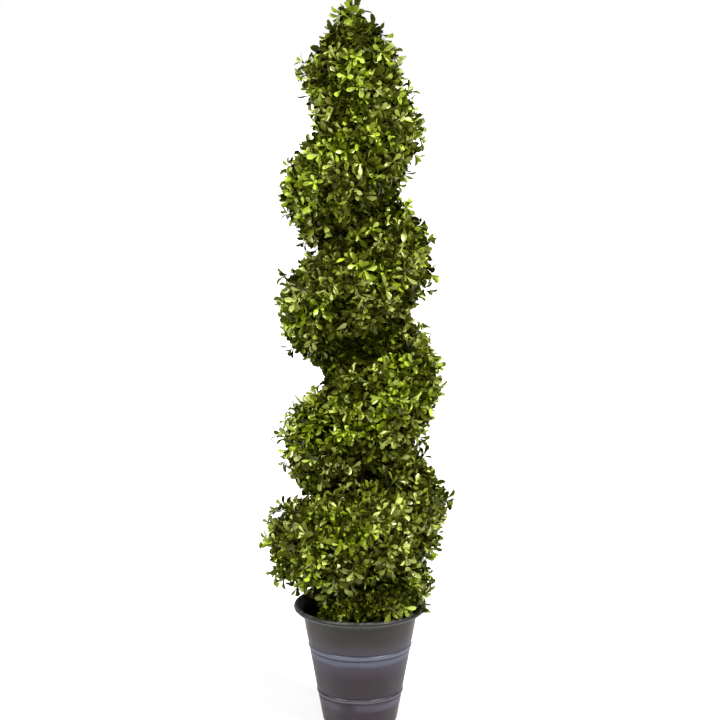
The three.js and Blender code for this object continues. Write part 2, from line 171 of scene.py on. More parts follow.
def lathe(name: str, profile: Sequence[Range], sides: int) -> bpy.types.Mesh:
    """Turns a profile round the Z axis into a smooth mesh.

    Args:
        name: The mesh's name.
        profile: Pairs of radius and height. It starts and ends on the axis, outer face first.
        sides: The number of steps round the axis.

    Returns:
        A closed mesh whose faces point outwards.
    """
    points: list[Point] = []
    rings: list[list[int]] = []
    for radius, height in profile:
        count = 1 if radius == 0 else sides
        rings.append(list(range(len(points), len(points) + count)))
        for i in range(count):
            angle = FULL_TURN * i / sides
            points.append((radius * math.cos(angle), radius * math.sin(angle), height))
    faces: list[tuple[int, ...]] = []
    for lower, upper in zip(rings, rings[1:]):
        for i in range(sides):
            corners = (
                lower[i % len(lower)],
                lower[(i + 1) % len(lower)],
                upper[(i + 1) % len(upper)],
                upper[i % len(upper)],
            )
            faces.append(tuple(dict.fromkeys(corners)))
    mesh = bpy.data.meshes.new(name)
    mesh.from_pydata(points, [], faces)
    shade_smooth(mesh)
    return mesh


class Wiring:
    """Adds and links the nodes of one node tree."""

    def __init__(self, tree: bpy.types.NodeTree) -> None:
        """Starts on a tree, which may already hold nodes."""
        self.tree = tree

    def feed(self, socket: Socket, value: Any) -> None:
        """Links a socket to another one, or sets its value.

        Args:
            socket: The input to feed.
            value: Another node's output, or a plain value.
        """
        if isinstance(value, Socket):
            self.tree.links.new(value, socket)
        else:
            socket.default_value = value

    def add(self, kind: str, inputs: Mapping[str, Any] | None = None, **settings: Any) -> bpy.types.Node:
        """Adds a node.

        Args:
            kind: The node's type.
            inputs: What feeds its inputs, by identifier or by name.
            **settings: The node's own options.

        Returns:
            The new node.
        """
        node = self.tree.nodes.new(kind)
        for name, value in settings.items():
            setattr(node, name, value)
        for key, value in (inputs or {}).items():
            socket = next((s for s in node.inputs if s.identifier == key), None)
            self.feed(socket or node.inputs[key], value)
        return node

    def flow(self, kind: str, inputs: Mapping[str, Any] | None = None, **settings: Any) -> Socket:
        """Adds a node and gives its first output in use.

        Args:
            kind: The node's type.
            inputs: What feeds its inputs, by identifier or by name.
            **settings: The node's own options.

        Returns:
            The output's socket.
        """
        node = self.add(kind, inputs, **settings)
        return next(s for s in node.outputs if s.enabled)

    def split(self, vector: Any) -> Mapping[str, Socket]:
        """Splits a vector into its X, Y and Z."""
        return self.add("ShaderNodeSeparateXYZ", {"Vector": vector}).outputs

    def sum(self, operation: str, first: Any, second: Any = 0.0, third: Any = 0.0) -> Socket:
        """Adds one step of arithmetic.

        Args:
            operation: Blender's name for the operation, such as ADD.
            first: The first number or socket.
            second: The second, where the operation has one.
            third: The third, where the operation has one.

        Returns:
            The result's socket.
        """
        inputs = {"Value": first, "Value_001": second, "Value_002": third}
        return self.flow("ShaderNodeMath", inputs, operation=operation)

    def between(self, value: Any, low: float, high: float) -> Socket:
        """Turns a range of values into a smooth step from 0 to 1.

        Args:
            value: The socket to read.
            low: The value that gives 0.
            high: The value that gives 1.

        Returns:
            The step's socket.
        """
        inputs = {"Value": value, "From Min": low, "From Max": high}
        return self.flow("ShaderNodeMapRange", inputs, interpolation_type="SMOOTHSTEP")

    def clouds(self, place: Any, scale: Any, detail: float) -> Socket:
        """Adds cloudy noise.

        Args:
            place: The point where it is read.
            scale: How fine it is.
            detail: How many finer layers it has.

        Returns:
            The socket of its value, which is about 0.5 on average.
        """
        return self.flow("ShaderNodeTexNoise", {"Vector": place, "Scale": scale, "Detail": detail})

    def mix(self, share: Any, first: Any, second: Any) -> Socket:
        """Mixes two colours.

        Args:
            share: How much of the second colour shows.
            first: The first colour.
            second: The second colour.

        Returns:
            The mixed colour's socket.
        """
        inputs = {"Factor_Float": share, "A_Color": paint(first), "B_Color": paint(second)}
        return self.flow("ShaderNodeMix", inputs, data_type="RGBA")

    def cover(self, mask: Any, share: float, under: Any, over: Any) -> Socket:
        """Lays one colour over another where a mask shows.

        Args:
            mask: Where the upper colour lies.
            share: How much of it shows there.
            under: The lower colour.
            over: The upper colour.

        Returns:
            The covered colour's socket.
        """
        return self.mix(self.sum("MULTIPLY", mask, share), under, over)


def paint(colour: Any) -> Any:
    """Gives a plain colour its alpha of one, and passes a socket on as it is."""
    return colour if isinstance(colour, Socket) else (*colour, 1.0)


class GrowthTree(Wiring):
    """A Geometry Nodes tree with named inputs, which ends in real faces with a material."""

    def __init__(self, name: str) -> None:
        """Starts a tree that takes a geometry and gives one back.

        Args:
            name: The tree's name.
        """
        super().__init__(bpy.data.node_groups.new(name, "GeometryNodeTree"))
        for way in ("INPUT", "OUTPUT"):
            self.tree.interface.new_socket("Geometry", in_out=way, socket_type="NodeSocketGeometry")
        self.source = self.tree.nodes.new("NodeGroupInput")
        self.result = self.tree.nodes.new("NodeGroupOutput")

    def opening(self, name: str, kind: str = "Float") -> Socket:
        """Adds a named input.

        Args:
            name: The input's name.
            kind: Float, Int, Material or another kind of socket.

        Returns:
            The socket inside the tree that carries it.
        """
        self.tree.interface.new_socket(name, in_out="INPUT", socket_type=f"NodeSocket{kind}")
        return self.source.outputs[name]

    def named(self, name: str, kind: str) -> Socket:
        """Reads an attribute of the points by its name and type."""
        return self.flow("GeometryNodeInputNamedAttribute", {"Name": name}, data_type=kind)

    def same(self, first: Any, second: int) -> Socket:
        """Tells where two whole numbers are the same."""
        inputs = {"A_INT": first, "B_INT": second}
        return self.flow("FunctionNodeCompare", inputs, data_type="INT", operation="EQUAL")

    def chance(self, kind: str, low: Any, high: Any, seed: Any) -> Socket:
        """Draws one value for each point.

        Args:
            kind: Blender's name for its type, FLOAT_VECTOR, FLOAT or INT.
            low: The lowest value.
            high: The highest value.
            seed: Makes the draw repeatable.

        Returns:
            The value's socket.
        """
        ending = {"FLOAT_VECTOR": "", "FLOAT": "_001", "INT": "_002"}[kind]
        inputs = {f"Min{ending}": low, f"Max{ending}": high, "Seed": seed}
        return self.flow("FunctionNodeRandomValue", inputs, data_type=kind)

    def set_out(self, points: Any, shape: Any, placing: Mapping[str, Any]) -> Socket:
        """Sets a shape on each point and makes every copy real.

        Args:
            points: The points.
            shape: The shape, or several to pick from.
            placing: How each copy is turned, sized and picked.

        Returns:
            The copies as one geometry.
        """
        inputs = {"Points": points, "Instance": shape, **placing}
        placed = self.flow("GeometryNodeInstanceOnPoints", inputs)
        return self.flow("GeometryNodeRealizeInstances", {"Geometry": placed})

    def coat(self, geometry: Socket, material: Any, where: Any = True) -> Socket:
        """Gives a geometry its material.

        Args:
            geometry: The geometry.
            material: The material or its socket.
            where: Which faces get it.

        Returns:
            The geometry with its material.
        """
        inputs = {"Geometry": geometry, "Selection": where, "Material": material}
        return self.flow("GeometryNodeSetMaterial", inputs)

    def close(self, geometry: Socket) -> None:
        """Sends the finished geometry out of the tree."""
        self.feed(self.result.inputs["Geometry"], geometry)

    def grow(self, name: str, start: bpy.types.Mesh, values: Mapping[str, Any]) -> bpy.types.Object:
        """Runs the tree on a mesh and keeps the result as a plain object.

        Args:
            name: The new object's name.
            start: The mesh that the tree reads.
            values: A value for each named input.

        Returns:
            An object with a plain mesh and no modifier.
        """
        grown = new_object(name, start)
        modifier = grown.modifiers.new("Growth", "NODES")
        modifier.node_group = self.tree
        for item in self.tree.interface.items_tree:
            if item.in_out == "INPUT" and item.name in values:
                modifier[item.identifier] = values[item.name]
        graph = bpy.context.evaluated_depsgraph_get()
        mesh = bpy.data.meshes.new_from_object(grown.evaluated_get(graph), depsgraph=graph)
        grown.modifiers.clear()
        grown.data = mesh
        bpy.data.meshes.remove(start)
        mesh.name = name
        return grown


def drop_attributes(mesh: bpy.types.Mesh, names: Sequence[str]) -> None:
    """Removes growing aids from a finished mesh.

    Args:
        mesh: The finished mesh.
        names: The attributes that are no longer needed.
    """
    for name in names:
        layer = mesh.attributes.get(name)
        if layer is not None:
            mesh.attributes.remove(layer)


class Coating(Wiring):
    """A material in the making, with its Principled shader."""

    def __init__(self, name: str) -> None:
        """Starts a material.

        Args:
            name: The material's name.
        """
        self.material = bpy.data.materials.new(name)
        self.material.use_nodes = True
        super().__init__(self.material.node_tree)
        self.shader = self.tree.nodes["Principled BSDF"]

    def here(self) -> Socket:
        """Gives the point on the piece, in the piece's own frame."""
        return self.add("ShaderNodeTexCoord").outputs["Object"]

    def measure(self, name: str) -> Socket:
        """Reads a number that the mesh holds under a name."""
        return self.add("ShaderNodeAttribute", attribute_name=name).outputs["Fac"]

    def set_even(self, values: Mapping[str, Any]) -> None:
        """Sets what is the same all over the surface.

        Args:
            values: Numbers and colours by the shader's own names for them.
        """
        for name, value in values.items():
            self.shader.inputs[name].default_value = value

    def vary(self, name: str, value: Socket) -> None:
        """Feeds one of the shader's inputs with what changes over the surface."""
        self.feed(self.shader.inputs[name], value)

    def emboss(self, height: Socket, strength: float, distance: float) -> None:
        """Gives the surface a fine relief.

        Args:
            height: The relief's height.
            strength: How strongly it shows.
            distance: How deep it is.
        """
        inputs = {"Height": height, "Strength": strength, "Distance": distance}
        self.vary("Normal", self.flow("ShaderNodeBump", inputs))


class EffectGroup(Wiring):
    """A shader node group with named inputs and outputs, built once and placed in several materials."""

    def __init__(self, name: str, inputs: Mapping[str, tuple[str, Any]], outputs: Mapping[str, str]) -> None:
        """Starts a group.

        Args:
            name: The group's name.
            inputs: For each input its kind and its usual value.
            outputs: For each output its kind.
        """
        super().__init__(bpy.data.node_groups.new(name, "ShaderNodeTree"))
        for label, (kind, usual) in inputs.items():
            socket = self.tree.interface.new_socket(label, in_out="INPUT", socket_type=f"NodeSocket{kind}")
            if usual is not None:
                socket.default_value = usual
        for label, kind in outputs.items():
            self.tree.interface.new_socket(label, in_out="OUTPUT", socket_type=f"NodeSocket{kind}")
        self.source = self.tree.nodes.new("NodeGroupInput")
        self.result = self.tree.nodes.new("NodeGroupOutput")

    def place(self, wiring: Wiring, inputs: Mapping[str, Any]) -> Mapping[str, Socket]:
        """Places the group in a material.

        Args:
            wiring: The material's wiring.
            inputs: What feeds the group's inputs.

        Returns:
            The group's outputs by name.
        """
        return wiring.add("ShaderNodeGroup", inputs, node_tree=self.tree).outputs


@dataclass
class Effects:
    """Surface effects that several finishes share."""

    patch_edge: Range = (0.38, 0.62)
    patch_detail: float = 4.0
    grain_detail: float = 3.0
    grain_share: float = 0.5
    dust_scale: float = 90.0
    dust_detail: float = 5.0
    dust_slope: Range = (0.15, 0.95)
    dust_edge: Range = (0.35, 0.7)
    wear_scale: float = 120.0
    wear_detail: float = 6.0
    raggedness: float = 0.8
    rubbed_and_highlight_edge: Range = (0.75, 1.3)
    sunken_edge: Range = (0.1, 0.9)
    mottle: EffectGroup = field(init=False)
    dust: EffectGroup = field(init=False)
    wear_and_painted_light: EffectGroup = field(init=False)

    def __post_init__(self) -> None:
        """Builds the groups once."""
        self.mottle = self.build_mottle()
        self.dust = self.build_dust()
        self.wear_and_painted_light = self.build_wear_and_painted_light()

    def build_mottle(self) -> EffectGroup:
        """Builds the group for cloudy patches and fine grain.

        Returns:
            A group that puts out a broad mask, a fine one and a height.
        """
        group = EffectGroup(
            "Mottle",
            {"Place": ("Vector", None), "Broad Scale": ("Float", 20.0), "Fine Scale": ("Float", 300.0)},
            {"Broad": "Float", "Fine": "Float", "Height": "Float"},
        )
        given = group.source.outputs
        broad = group.clouds(given["Place"], given["Broad Scale"], self.patch_detail)
        fine = group.clouds(given["Place"], given["Fine Scale"], self.grain_detail)
        group.feed(group.result.inputs["Broad"], group.between(broad, *self.patch_edge))
        group.feed(group.result.inputs["Fine"], fine)
        group.feed(group.result.inputs["Height"], group.sum("MULTIPLY_ADD", broad, self.grain_share, fine))
        return group

    def build_dust(self) -> EffectGroup:
        """Builds the group for dust that settles on faces that look up.

        Returns:
            A group that puts out a mask.
        """
        group = EffectGroup(
            "Settled dust",
            {"Place": ("Vector", None), "Amount": ("Float", 0.3)},
            {"Mask": "Float"},
        )
        given = group.source.outputs
        normal = group.add("ShaderNodeNewGeometry").outputs["Normal"]
        level = group.between(group.split(normal)["Z"], *self.dust_slope)
        clouds = group.clouds(given["Place"], self.dust_scale, self.dust_detail)
        patches = group.between(clouds, *self.dust_edge)
        settled = group.sum("MULTIPLY", level, patches)
        group.feed(group.result.inputs["Mask"], group.sum("MULTIPLY", settled, given["Amount"]))
        return group

    def build_wear_and_painted_light(self) -> EffectGroup:
        """Builds the group for worn edges with painted highlights, and painted shade in the grooves.

        Returns:
            A group that reads how far the surface stands proud and puts out two masks.
        """
        group = EffectGroup(
            "Edge wear",
            {"Place": ("Vector", None), "Proud": ("Float", 0.0)},
            {"Rubbed": "Float", "Sunken": "Float"},
        )
        given = group.source.outputs
        patches = group.clouds(given["Place"], self.wear_scale, self.wear_detail)
        ragged = group.sum("MULTIPLY_ADD", patches, self.raggedness, given["Proud"])
        # Painted shade where the surface lies sunken, in the grooves and under the bead.
        sunken = group.sum("MULTIPLY", given["Proud"], -1.0)
        group.feed(group.result.inputs["Rubbed"], group.between(ragged, *self.rubbed_and_highlight_edge))
        group.feed(group.result.inputs["Sunken"], group.between(sunken, *self.sunken_edge))
        return group

    def mottled(self, coat: Coating, place: Socket, broad: float, fine: float) -> Mapping[str, Socket]:
        """Places the cloudy patches and grain in a material.

        Args:
            coat: The material in the making.
            place: The point where they are read.
            broad: How fine the patches are.
            fine: How fine the grain is.

        Returns:
            The broad mask, the fine one and the height, by name.
        """
        return self.mottle.place(coat, {"Place": place, "Broad Scale": broad, "Fine Scale": fine})


@dataclass(frozen=True)
class LeafFinish:
    """A satin leaf in one plain green."""

    tone: LeafTone
    colour: Colour
    roughness: float = 0.38
    specular: float = 0.5
    gloss: Colour = (1.0, 1.0, 0.35)

    def material(self) -> bpy.types.Material:
        """Makes the leaf's material.

        Returns:
            The material.
        """
        coat = Coating(f"leaf_{self.tone.name.lower()}")
        coat.set_even(
            {
                "Base Color": paint(self.colour),
                "Roughness": self.roughness,
                "Specular IOR Level": self.specular,
                "Specular Tint": paint(self.gloss),
            }
        )
        return coat.material


@dataclass(frozen=True)
class ShootFinish:
    """A dull green or brown shoot in one plain colour."""

    name: str
    colour: Colour
    roughness: float = 0.7

    def material(self) -> bpy.types.Material:
        """Makes the shoot's material.

        Returns:
            The material.
        """
        coat = Coating(self.name)
        coat.set_even({"Base Color": paint(self.colour), "Roughness": self.roughness})
        return coat.material


@dataclass(frozen=True)
class BarkFinish:
    """Grey-brown bark with darker, upright cracks and a little lichen."""

    ridge: Colour = (0.105, 0.085, 0.062)
    crack: Colour = (0.018, 0.013, 0.009)
    lichen: Colour = (0.12, 0.125, 0.08)
    stretch: Point = (1.0, 1.0, 0.22)
    crack_scale: float = 160.0
    grain_scale: float = 700.0
    lichen_scale: float = 45.0
    lichen_detail: float = 3.0
    lichen_edge: Range = (0.55, 0.7)
    lichen_share: float = 0.5
    roughness: float = 0.85
    relief: Range = (0.8, 0.0015)

    def material(self, effects: Effects) -> bpy.types.Material:
        """Makes the bark.

        Args:
            effects: The shared surface effects.

        Returns:
            The material.
        """
        coat = Coating("bark")
        place = coat.here()
        drawn = coat.flow("ShaderNodeMapping", {"Vector": place, "Scale": self.stretch})
        mottle = effects.mottled(coat, drawn, self.crack_scale, self.grain_scale)
        clouds = coat.clouds(place, self.lichen_scale, self.lichen_detail)
        patches = coat.between(clouds, *self.lichen_edge)
        colour = coat.mix(mottle["Broad"], self.crack, self.ridge)
        coat.vary("Base Color", coat.cover(patches, self.lichen_share, colour, self.lichen))
        coat.set_even({"Roughness": self.roughness})
        coat.emboss(mottle["Height"], *self.relief)
        return coat.material


@dataclass(frozen=True)
class SoilFinish:
    """Dark potting fill with paler specks."""

    name: str
    damp: Colour = (0.010, 0.007, 0.004)
    dry: Colour = (0.040, 0.027, 0.015)
    speck: Colour = (0.15, 0.11, 0.065)
    clump_scale: float = 60.0
    grain_scale: float = 500.0
    speck_scale: float = 230.0
    speck_edge: Range = (0.1, 0.3)
    speck_share: float = 0.5
    roughness: float = 0.95
    relief: Range = (0.9, 0.002)

    def material(self, effects: Effects) -> bpy.types.Material:
        """Makes the fill.

        Args:
            effects: The shared surface effects.

        Returns:
            The material.
        """
        coat = Coating(self.name)
        place = coat.here()
        mottle = effects.mottled(coat, place, self.clump_scale, self.grain_scale)
        cells = coat.flow("ShaderNodeTexVoronoi", {"Vector": place, "Scale": self.speck_scale})
        specks = coat.sum("SUBTRACT", 1.0, coat.between(cells, *self.speck_edge))
        colour = coat.mix(mottle["Broad"], self.damp, self.dry)
        coat.vary("Base Color", coat.cover(specks, self.speck_share, colour, self.speck))
        coat.set_even({"Roughness": self.roughness})
        coat.emboss(mottle["Height"], *self.relief)
        return coat.material


@dataclass(frozen=True)
class PaintBand:
    """A band of paint round the planter, measured from the middle of a rib."""

    below: float
    above: float
    fade: float
    share: float

    def mask(self, coat: Coating, height: Socket, rib: float) -> Socket:
        """Marks the band.

        Args:
            coat: The paint in the making.
            height: The height on the planter.
            rib: The height of the rib's middle.

        Returns:
            A mask that is 1 inside the band.
        """
        low, high = rib - self.below, rib + self.above
        over_low = coat.between(height, low - self.fade, low + self.fade)
        over_high = coat.between(height, high - self.fade, high + self.fade)
        return coat.sum("SUBTRACT", over_low, over_high)


@dataclass(frozen=True)
class PlanterFinish:
    """Satin slate paint with a brown-grey collar, a blue wash under each rib and a near-black lip, with worn
    ridges, a painted highlight on the bead, painted shade in the grooves and under the bead, and a painted
    shadow round the foot.
    """

    slate: Colour = (0.0140, 0.0093, 0.0122)
    collar: Colour = (0.0138, 0.0112, 0.0086)
    wash: Colour = (0.055, 0.061, 0.088)
    lilac: Colour = (0.055, 0.044, 0.066)
    lip: Colour = (0.009, 0.009, 0.007)
    # Painted shade in the grooves and under the bead.
    groove: Colour = (0.010, 0.012, 0.020)
    # Paler paint for worn ridges, and a painted highlight on the bead's face and the collar's ridge.
    rubbed: Colour = (0.130, 0.128, 0.125)
    # Painted contact shadow round the foot.
    foot: Colour = (0.004, 0.003, 0.004)
    inside: Colour = (0.012, 0.010, 0.008)
    dust: Colour = (0.24, 0.23, 0.21)
    haze: PaintBand = PaintBand(0.030, 0.022, 0.012, 0.28)
    high_wash: PaintBand = PaintBand(0.0145, 0.006, 0.0035, 0.80)
    low_wash: PaintBand = PaintBand(0.018, 0.002, 0.006, 0.65)
    cloud_scale: float = 14.0
    grain_scale: float = 420.0
    streak_scale: float = 16.0
    streak_detail: float = 4.0
    streak_stretch: Point = (1.0, 1.0, 3.5)
    waviness: float = 0.012
    collar_edge: Range = (-0.004, 0.010)
    lip_fade: float = 0.002
    groove_share: float = 0.75
    rubbed_and_highlight_share: float = 0.28
    foot_shadow_edge: Range = (0.003, 0.018)
    foot_shadow_share: float = 0.75
    dust_amount: float = 0.25
    roughness: float = 0.3
    grain_roughness: float = 0.18
    dust_roughness: float = 0.4
    specular: float = 0.22
    relief: Range = (0.12, 0.0006)

    def material(self, effects: Effects, ribs: Sequence[float], lip_start: float) -> bpy.types.Material:
        """Makes the paint.

        Args:
            effects: The shared surface effects.
            ribs: The middle height of each double rib, the lowest first.
            lip_start: The height where the lip begins.

        Returns:
            The material.
        """
        coat = Coating("planter_paint")
        place = coat.here()
        mottle = effects.mottled(coat, place, self.cloud_scale, self.grain_scale)
        drawn = coat.flow("ShaderNodeMapping", {"Vector": place, "Scale": self.streak_stretch})
        streaks = coat.clouds(drawn, self.streak_scale, self.streak_detail)
        sway = coat.sum("SUBTRACT", streaks, 0.5)
        height = coat.split(place)["Z"]
        wavy = coat.sum("MULTIPLY_ADD", sway, self.waviness, height)
        low_rib, high_rib = ribs
        above_rib = coat.between(height, *(high_rib + edge for edge in self.collar_edge))
        colour = coat.mix(above_rib, self.slate, self.collar)
        haze = self.haze.mask(coat, wavy, high_rib)
        colour = coat.cover(haze, self.haze.share, colour, self.lilac)
        high_wash = self.high_wash.mask(coat, wavy, high_rib)
        colour = coat.cover(high_wash, self.high_wash.share, colour, self.wash)
        patchy = coat.sum("MULTIPLY", self.low_wash.mask(coat, wavy, low_rib), mottle["Broad"])
        colour = coat.cover(patchy, self.low_wash.share, colour, self.lilac)
        on_lip = coat.between(height, lip_start - self.lip_fade, lip_start + self.lip_fade)
        colour = coat.mix(on_lip, colour, self.lip)
        wear_and_painted_light = effects.wear_and_painted_light.place(coat, {"Place": place, "Proud": coat.measure("proud")})
        # Painted shade in the rib grooves and under the bead.
        colour = coat.cover(wear_and_painted_light["Sunken"], self.groove_share, colour, self.groove)
        # Worn paint on the rib ridges, and a painted highlight on the bead's face and the collar's ridge.
        colour = coat.cover(wear_and_painted_light["Rubbed"], self.rubbed_and_highlight_share, colour, self.rubbed)
        # Painted contact shadow: darker towards the bottom of the wall.
        foot_shadow = coat.sum("SUBTRACT", 1.0, coat.between(wavy, *self.foot_shadow_edge))
        colour = coat.cover(foot_shadow, self.foot_shadow_share, colour, self.foot)
        colour = coat.mix(coat.measure("indoors"), colour, self.inside)
        dust = effects.dust.place(coat, {"Place": place, "Amount": self.dust_amount})["Mask"]
        grain = coat.sum("MULTIPLY_ADD", mottle["Fine"], self.grain_roughness, self.roughness)
        coat.vary("Base Color", coat.mix(dust, colour, self.dust))
        coat.vary("Roughness", coat.sum("MULTIPLY_ADD", dust, self.dust_roughness, grain))
        coat.set_even({"Specular IOR Level": self.specular})
        coat.emboss(mottle["Height"], *self.relief)
        return coat.material


@dataclass(frozen=True)
class FloorFinish:
    """Plain pale floor with the faintest clouding."""

    pale: Colour = (0.92, 0.92, 0.92)
    paler: Colour = (0.95, 0.95, 0.95)
    cloud_scale: float = 1.5
    grain_scale: float = 30.0
    roughness: float = 0.9
    specular: float = 0.1

    def material(self, effects: Effects) -> bpy.types.Material:
        """Makes the floor's material.

        Args:
            effects: The shared surface effects.

        Returns:
            The material.
        """
        coat = Coating("pale_floor")
        mottle = effects.mottled(coat, coat.here(), self.cloud_scale, self.grain_scale)
        coat.vary("Base Color", coat.mix(mottle["Broad"], self.pale, self.paler))
        coat.set_even({"Roughness": self.roughness, "Specular IOR Level": self.specular})
        return coat.material


@dataclass(frozen=True)
class SpiralRule:
    """The strand of foliage that winds up the stem, by the rule that the solids were grown by.

    A turn counts laps, anticlockwise as seen from above. Whole turns lie at the right of the stem.
    """

    height: float = 1.219
    lean: float = 0.010
    fill_top: float = 0.168
    fill_dome: float = 0.006
    first_turn: float = -0.5
    last_turn: float = 4.5
    middle_heights: tuple[float, ...] = (
        0.216, 0.242, 0.314, 0.384, 0.490, 0.600, 0.719, 0.808, 0.908, 1.020, 1.106, 1.150, 1.170,
    )
    leaf_reaches: tuple[float, ...] = (
        0.078, 0.114, 0.158, 0.148, 0.130, 0.142, 0.133, 0.122, 0.125, 0.108, 0.080, 0.066, 0.048,
    )
    thickness: float = 0.176
    thin_share: float = 0.62
    thin_extra: float = 0.008
    neck_share: float = 0.9
    neck_least: float = 0.014
    neck_leaves: float = 0.018
    tip_shoulder_height: float = 1.106
    tip_shoulder_radius: float = 0.076
    tip_skirt_taper: float = 0.020
    tip_crown_radius: float = 0.012

    def along(self, values: Sequence[float], turn: Any) -> Array:
        """Reads a measure on a smooth curve through the half turns' values.

        Args:
            values: The measure at each half turn.
            turn: One turn or an array of them.

        Returns:
            The measure at each turn.
        """
        knots = np.asarray(values)
        padded = np.concatenate([[2 * knots[0] - knots[1]], knots, [2 * knots[-1] - knots[-2]]])
        place = (np.asarray(turn, float) - self.first_turn) * 2
        index = np.clip(np.floor(place).astype(int), 0, len(knots) - 2)
        share = place - index
        before, here, there, after = (padded[index + step] for step in range(4))
        slope_here = (there - before) / 2
        slope_there = (after - here) / 2
        rise = there - here
        bend = 3 * rise - 2 * slope_here - slope_there
        twist = slope_here + slope_there - 2 * rise
        return here + share * (slope_here + share * (bend + share * twist))

    def middle(self, turn: Any) -> Array:
        """Gives the height of the strand's middle."""
        return self.along(self.middle_heights, turn)

    def reach(self, turn: Any) -> Array:
        """Gives how far the leaves reach from the stem's middle."""
        return self.along(self.leaf_reaches, turn)

    def radius(self, turn: Any) -> Array:
        """Gives the radius of the strand itself."""
        return np.minimum(self.thickness / 2, self.reach(turn) * self.thin_share + self.thin_extra)

    def offset(self, turn: Any) -> Array:
        """Gives how far the strand's middle lies from the stem's."""
        return self.reach(turn) - self.radius(turn)

    def neck(self, turn: Any) -> Array:
        """Gives the radius of the leafy waist between two turns."""
        return np.maximum(self.neck_least, self.offset(turn) * self.neck_share) + self.neck_leaves

    def floor(self, turn: Any) -> Array:
        """Gives the height where the strand's own space begins.

        Args:
            turn: One turn or an array of them.

        Returns:
            The height at each turn.
        """
        turn = np.asarray(turn, float)
        first_lap = turn < self.first_turn + 1
        lower = self.middle(np.maximum(turn - 1, self.first_turn))
        return np.where(first_lap, self.fill_top + self.fill_dome, (lower + self.middle(turn)) / 2)

    def ceiling(self, turn: Any) -> Array:
        """Gives the height where the strand's own space ends."""
        return (self.middle(turn) + self.middle(np.asarray(turn, float) + 1)) / 2

    def tip_share(self, height: Any) -> Array:
        """Tells how far up the tip's cone a height lies, less than 0 under its shoulder."""
        rise = self.height - self.tip_shoulder_height
        return (np.asarray(height, float) - self.tip_shoulder_height) / rise

    def tip_radius(self, height: Any) -> Array:
        """Gives the radius of the tip's blunt cone.

        Args:
            height: One height or an array of them.

        Returns:
            The radius at each height.
        """
        share = self.tip_share(height)
        cone = blend(self.tip_shoulder_radius, self.tip_crown_radius, share)
        return np.where(share < 0, self.tip_shoulder_radius + share * self.tip_skirt_taper, cone)

    def leaning(self, points: Array) -> Array:
        """Shifts points sideways along the plant's gentle bend, more and more towards its top.

        Args:
            points: Points of the upright plant.

        Returns:
            Points of the leaning one.
        """
        moved = np.array(points, float)
        rise = np.maximum(0, moved[..., 2] - self.fill_top) / (self.height - self.fill_top)
        moved[..., 0] -= self.lean * rise**2
        return moved


def around(turn: Any, radius: Any, height: Any) -> Array:
    """Places points round the stem.

    Args:
        turn: Laps from the right of the stem.
        radius: Distances from the axis.
        height: Heights.

    Returns:
        The points, one row each.
    """
    angle = np.asarray(turn, float) * FULL_TURN
    return np.stack(np.broadcast_arrays(radius * np.cos(angle), radius * np.sin(angle), height), axis=-1)


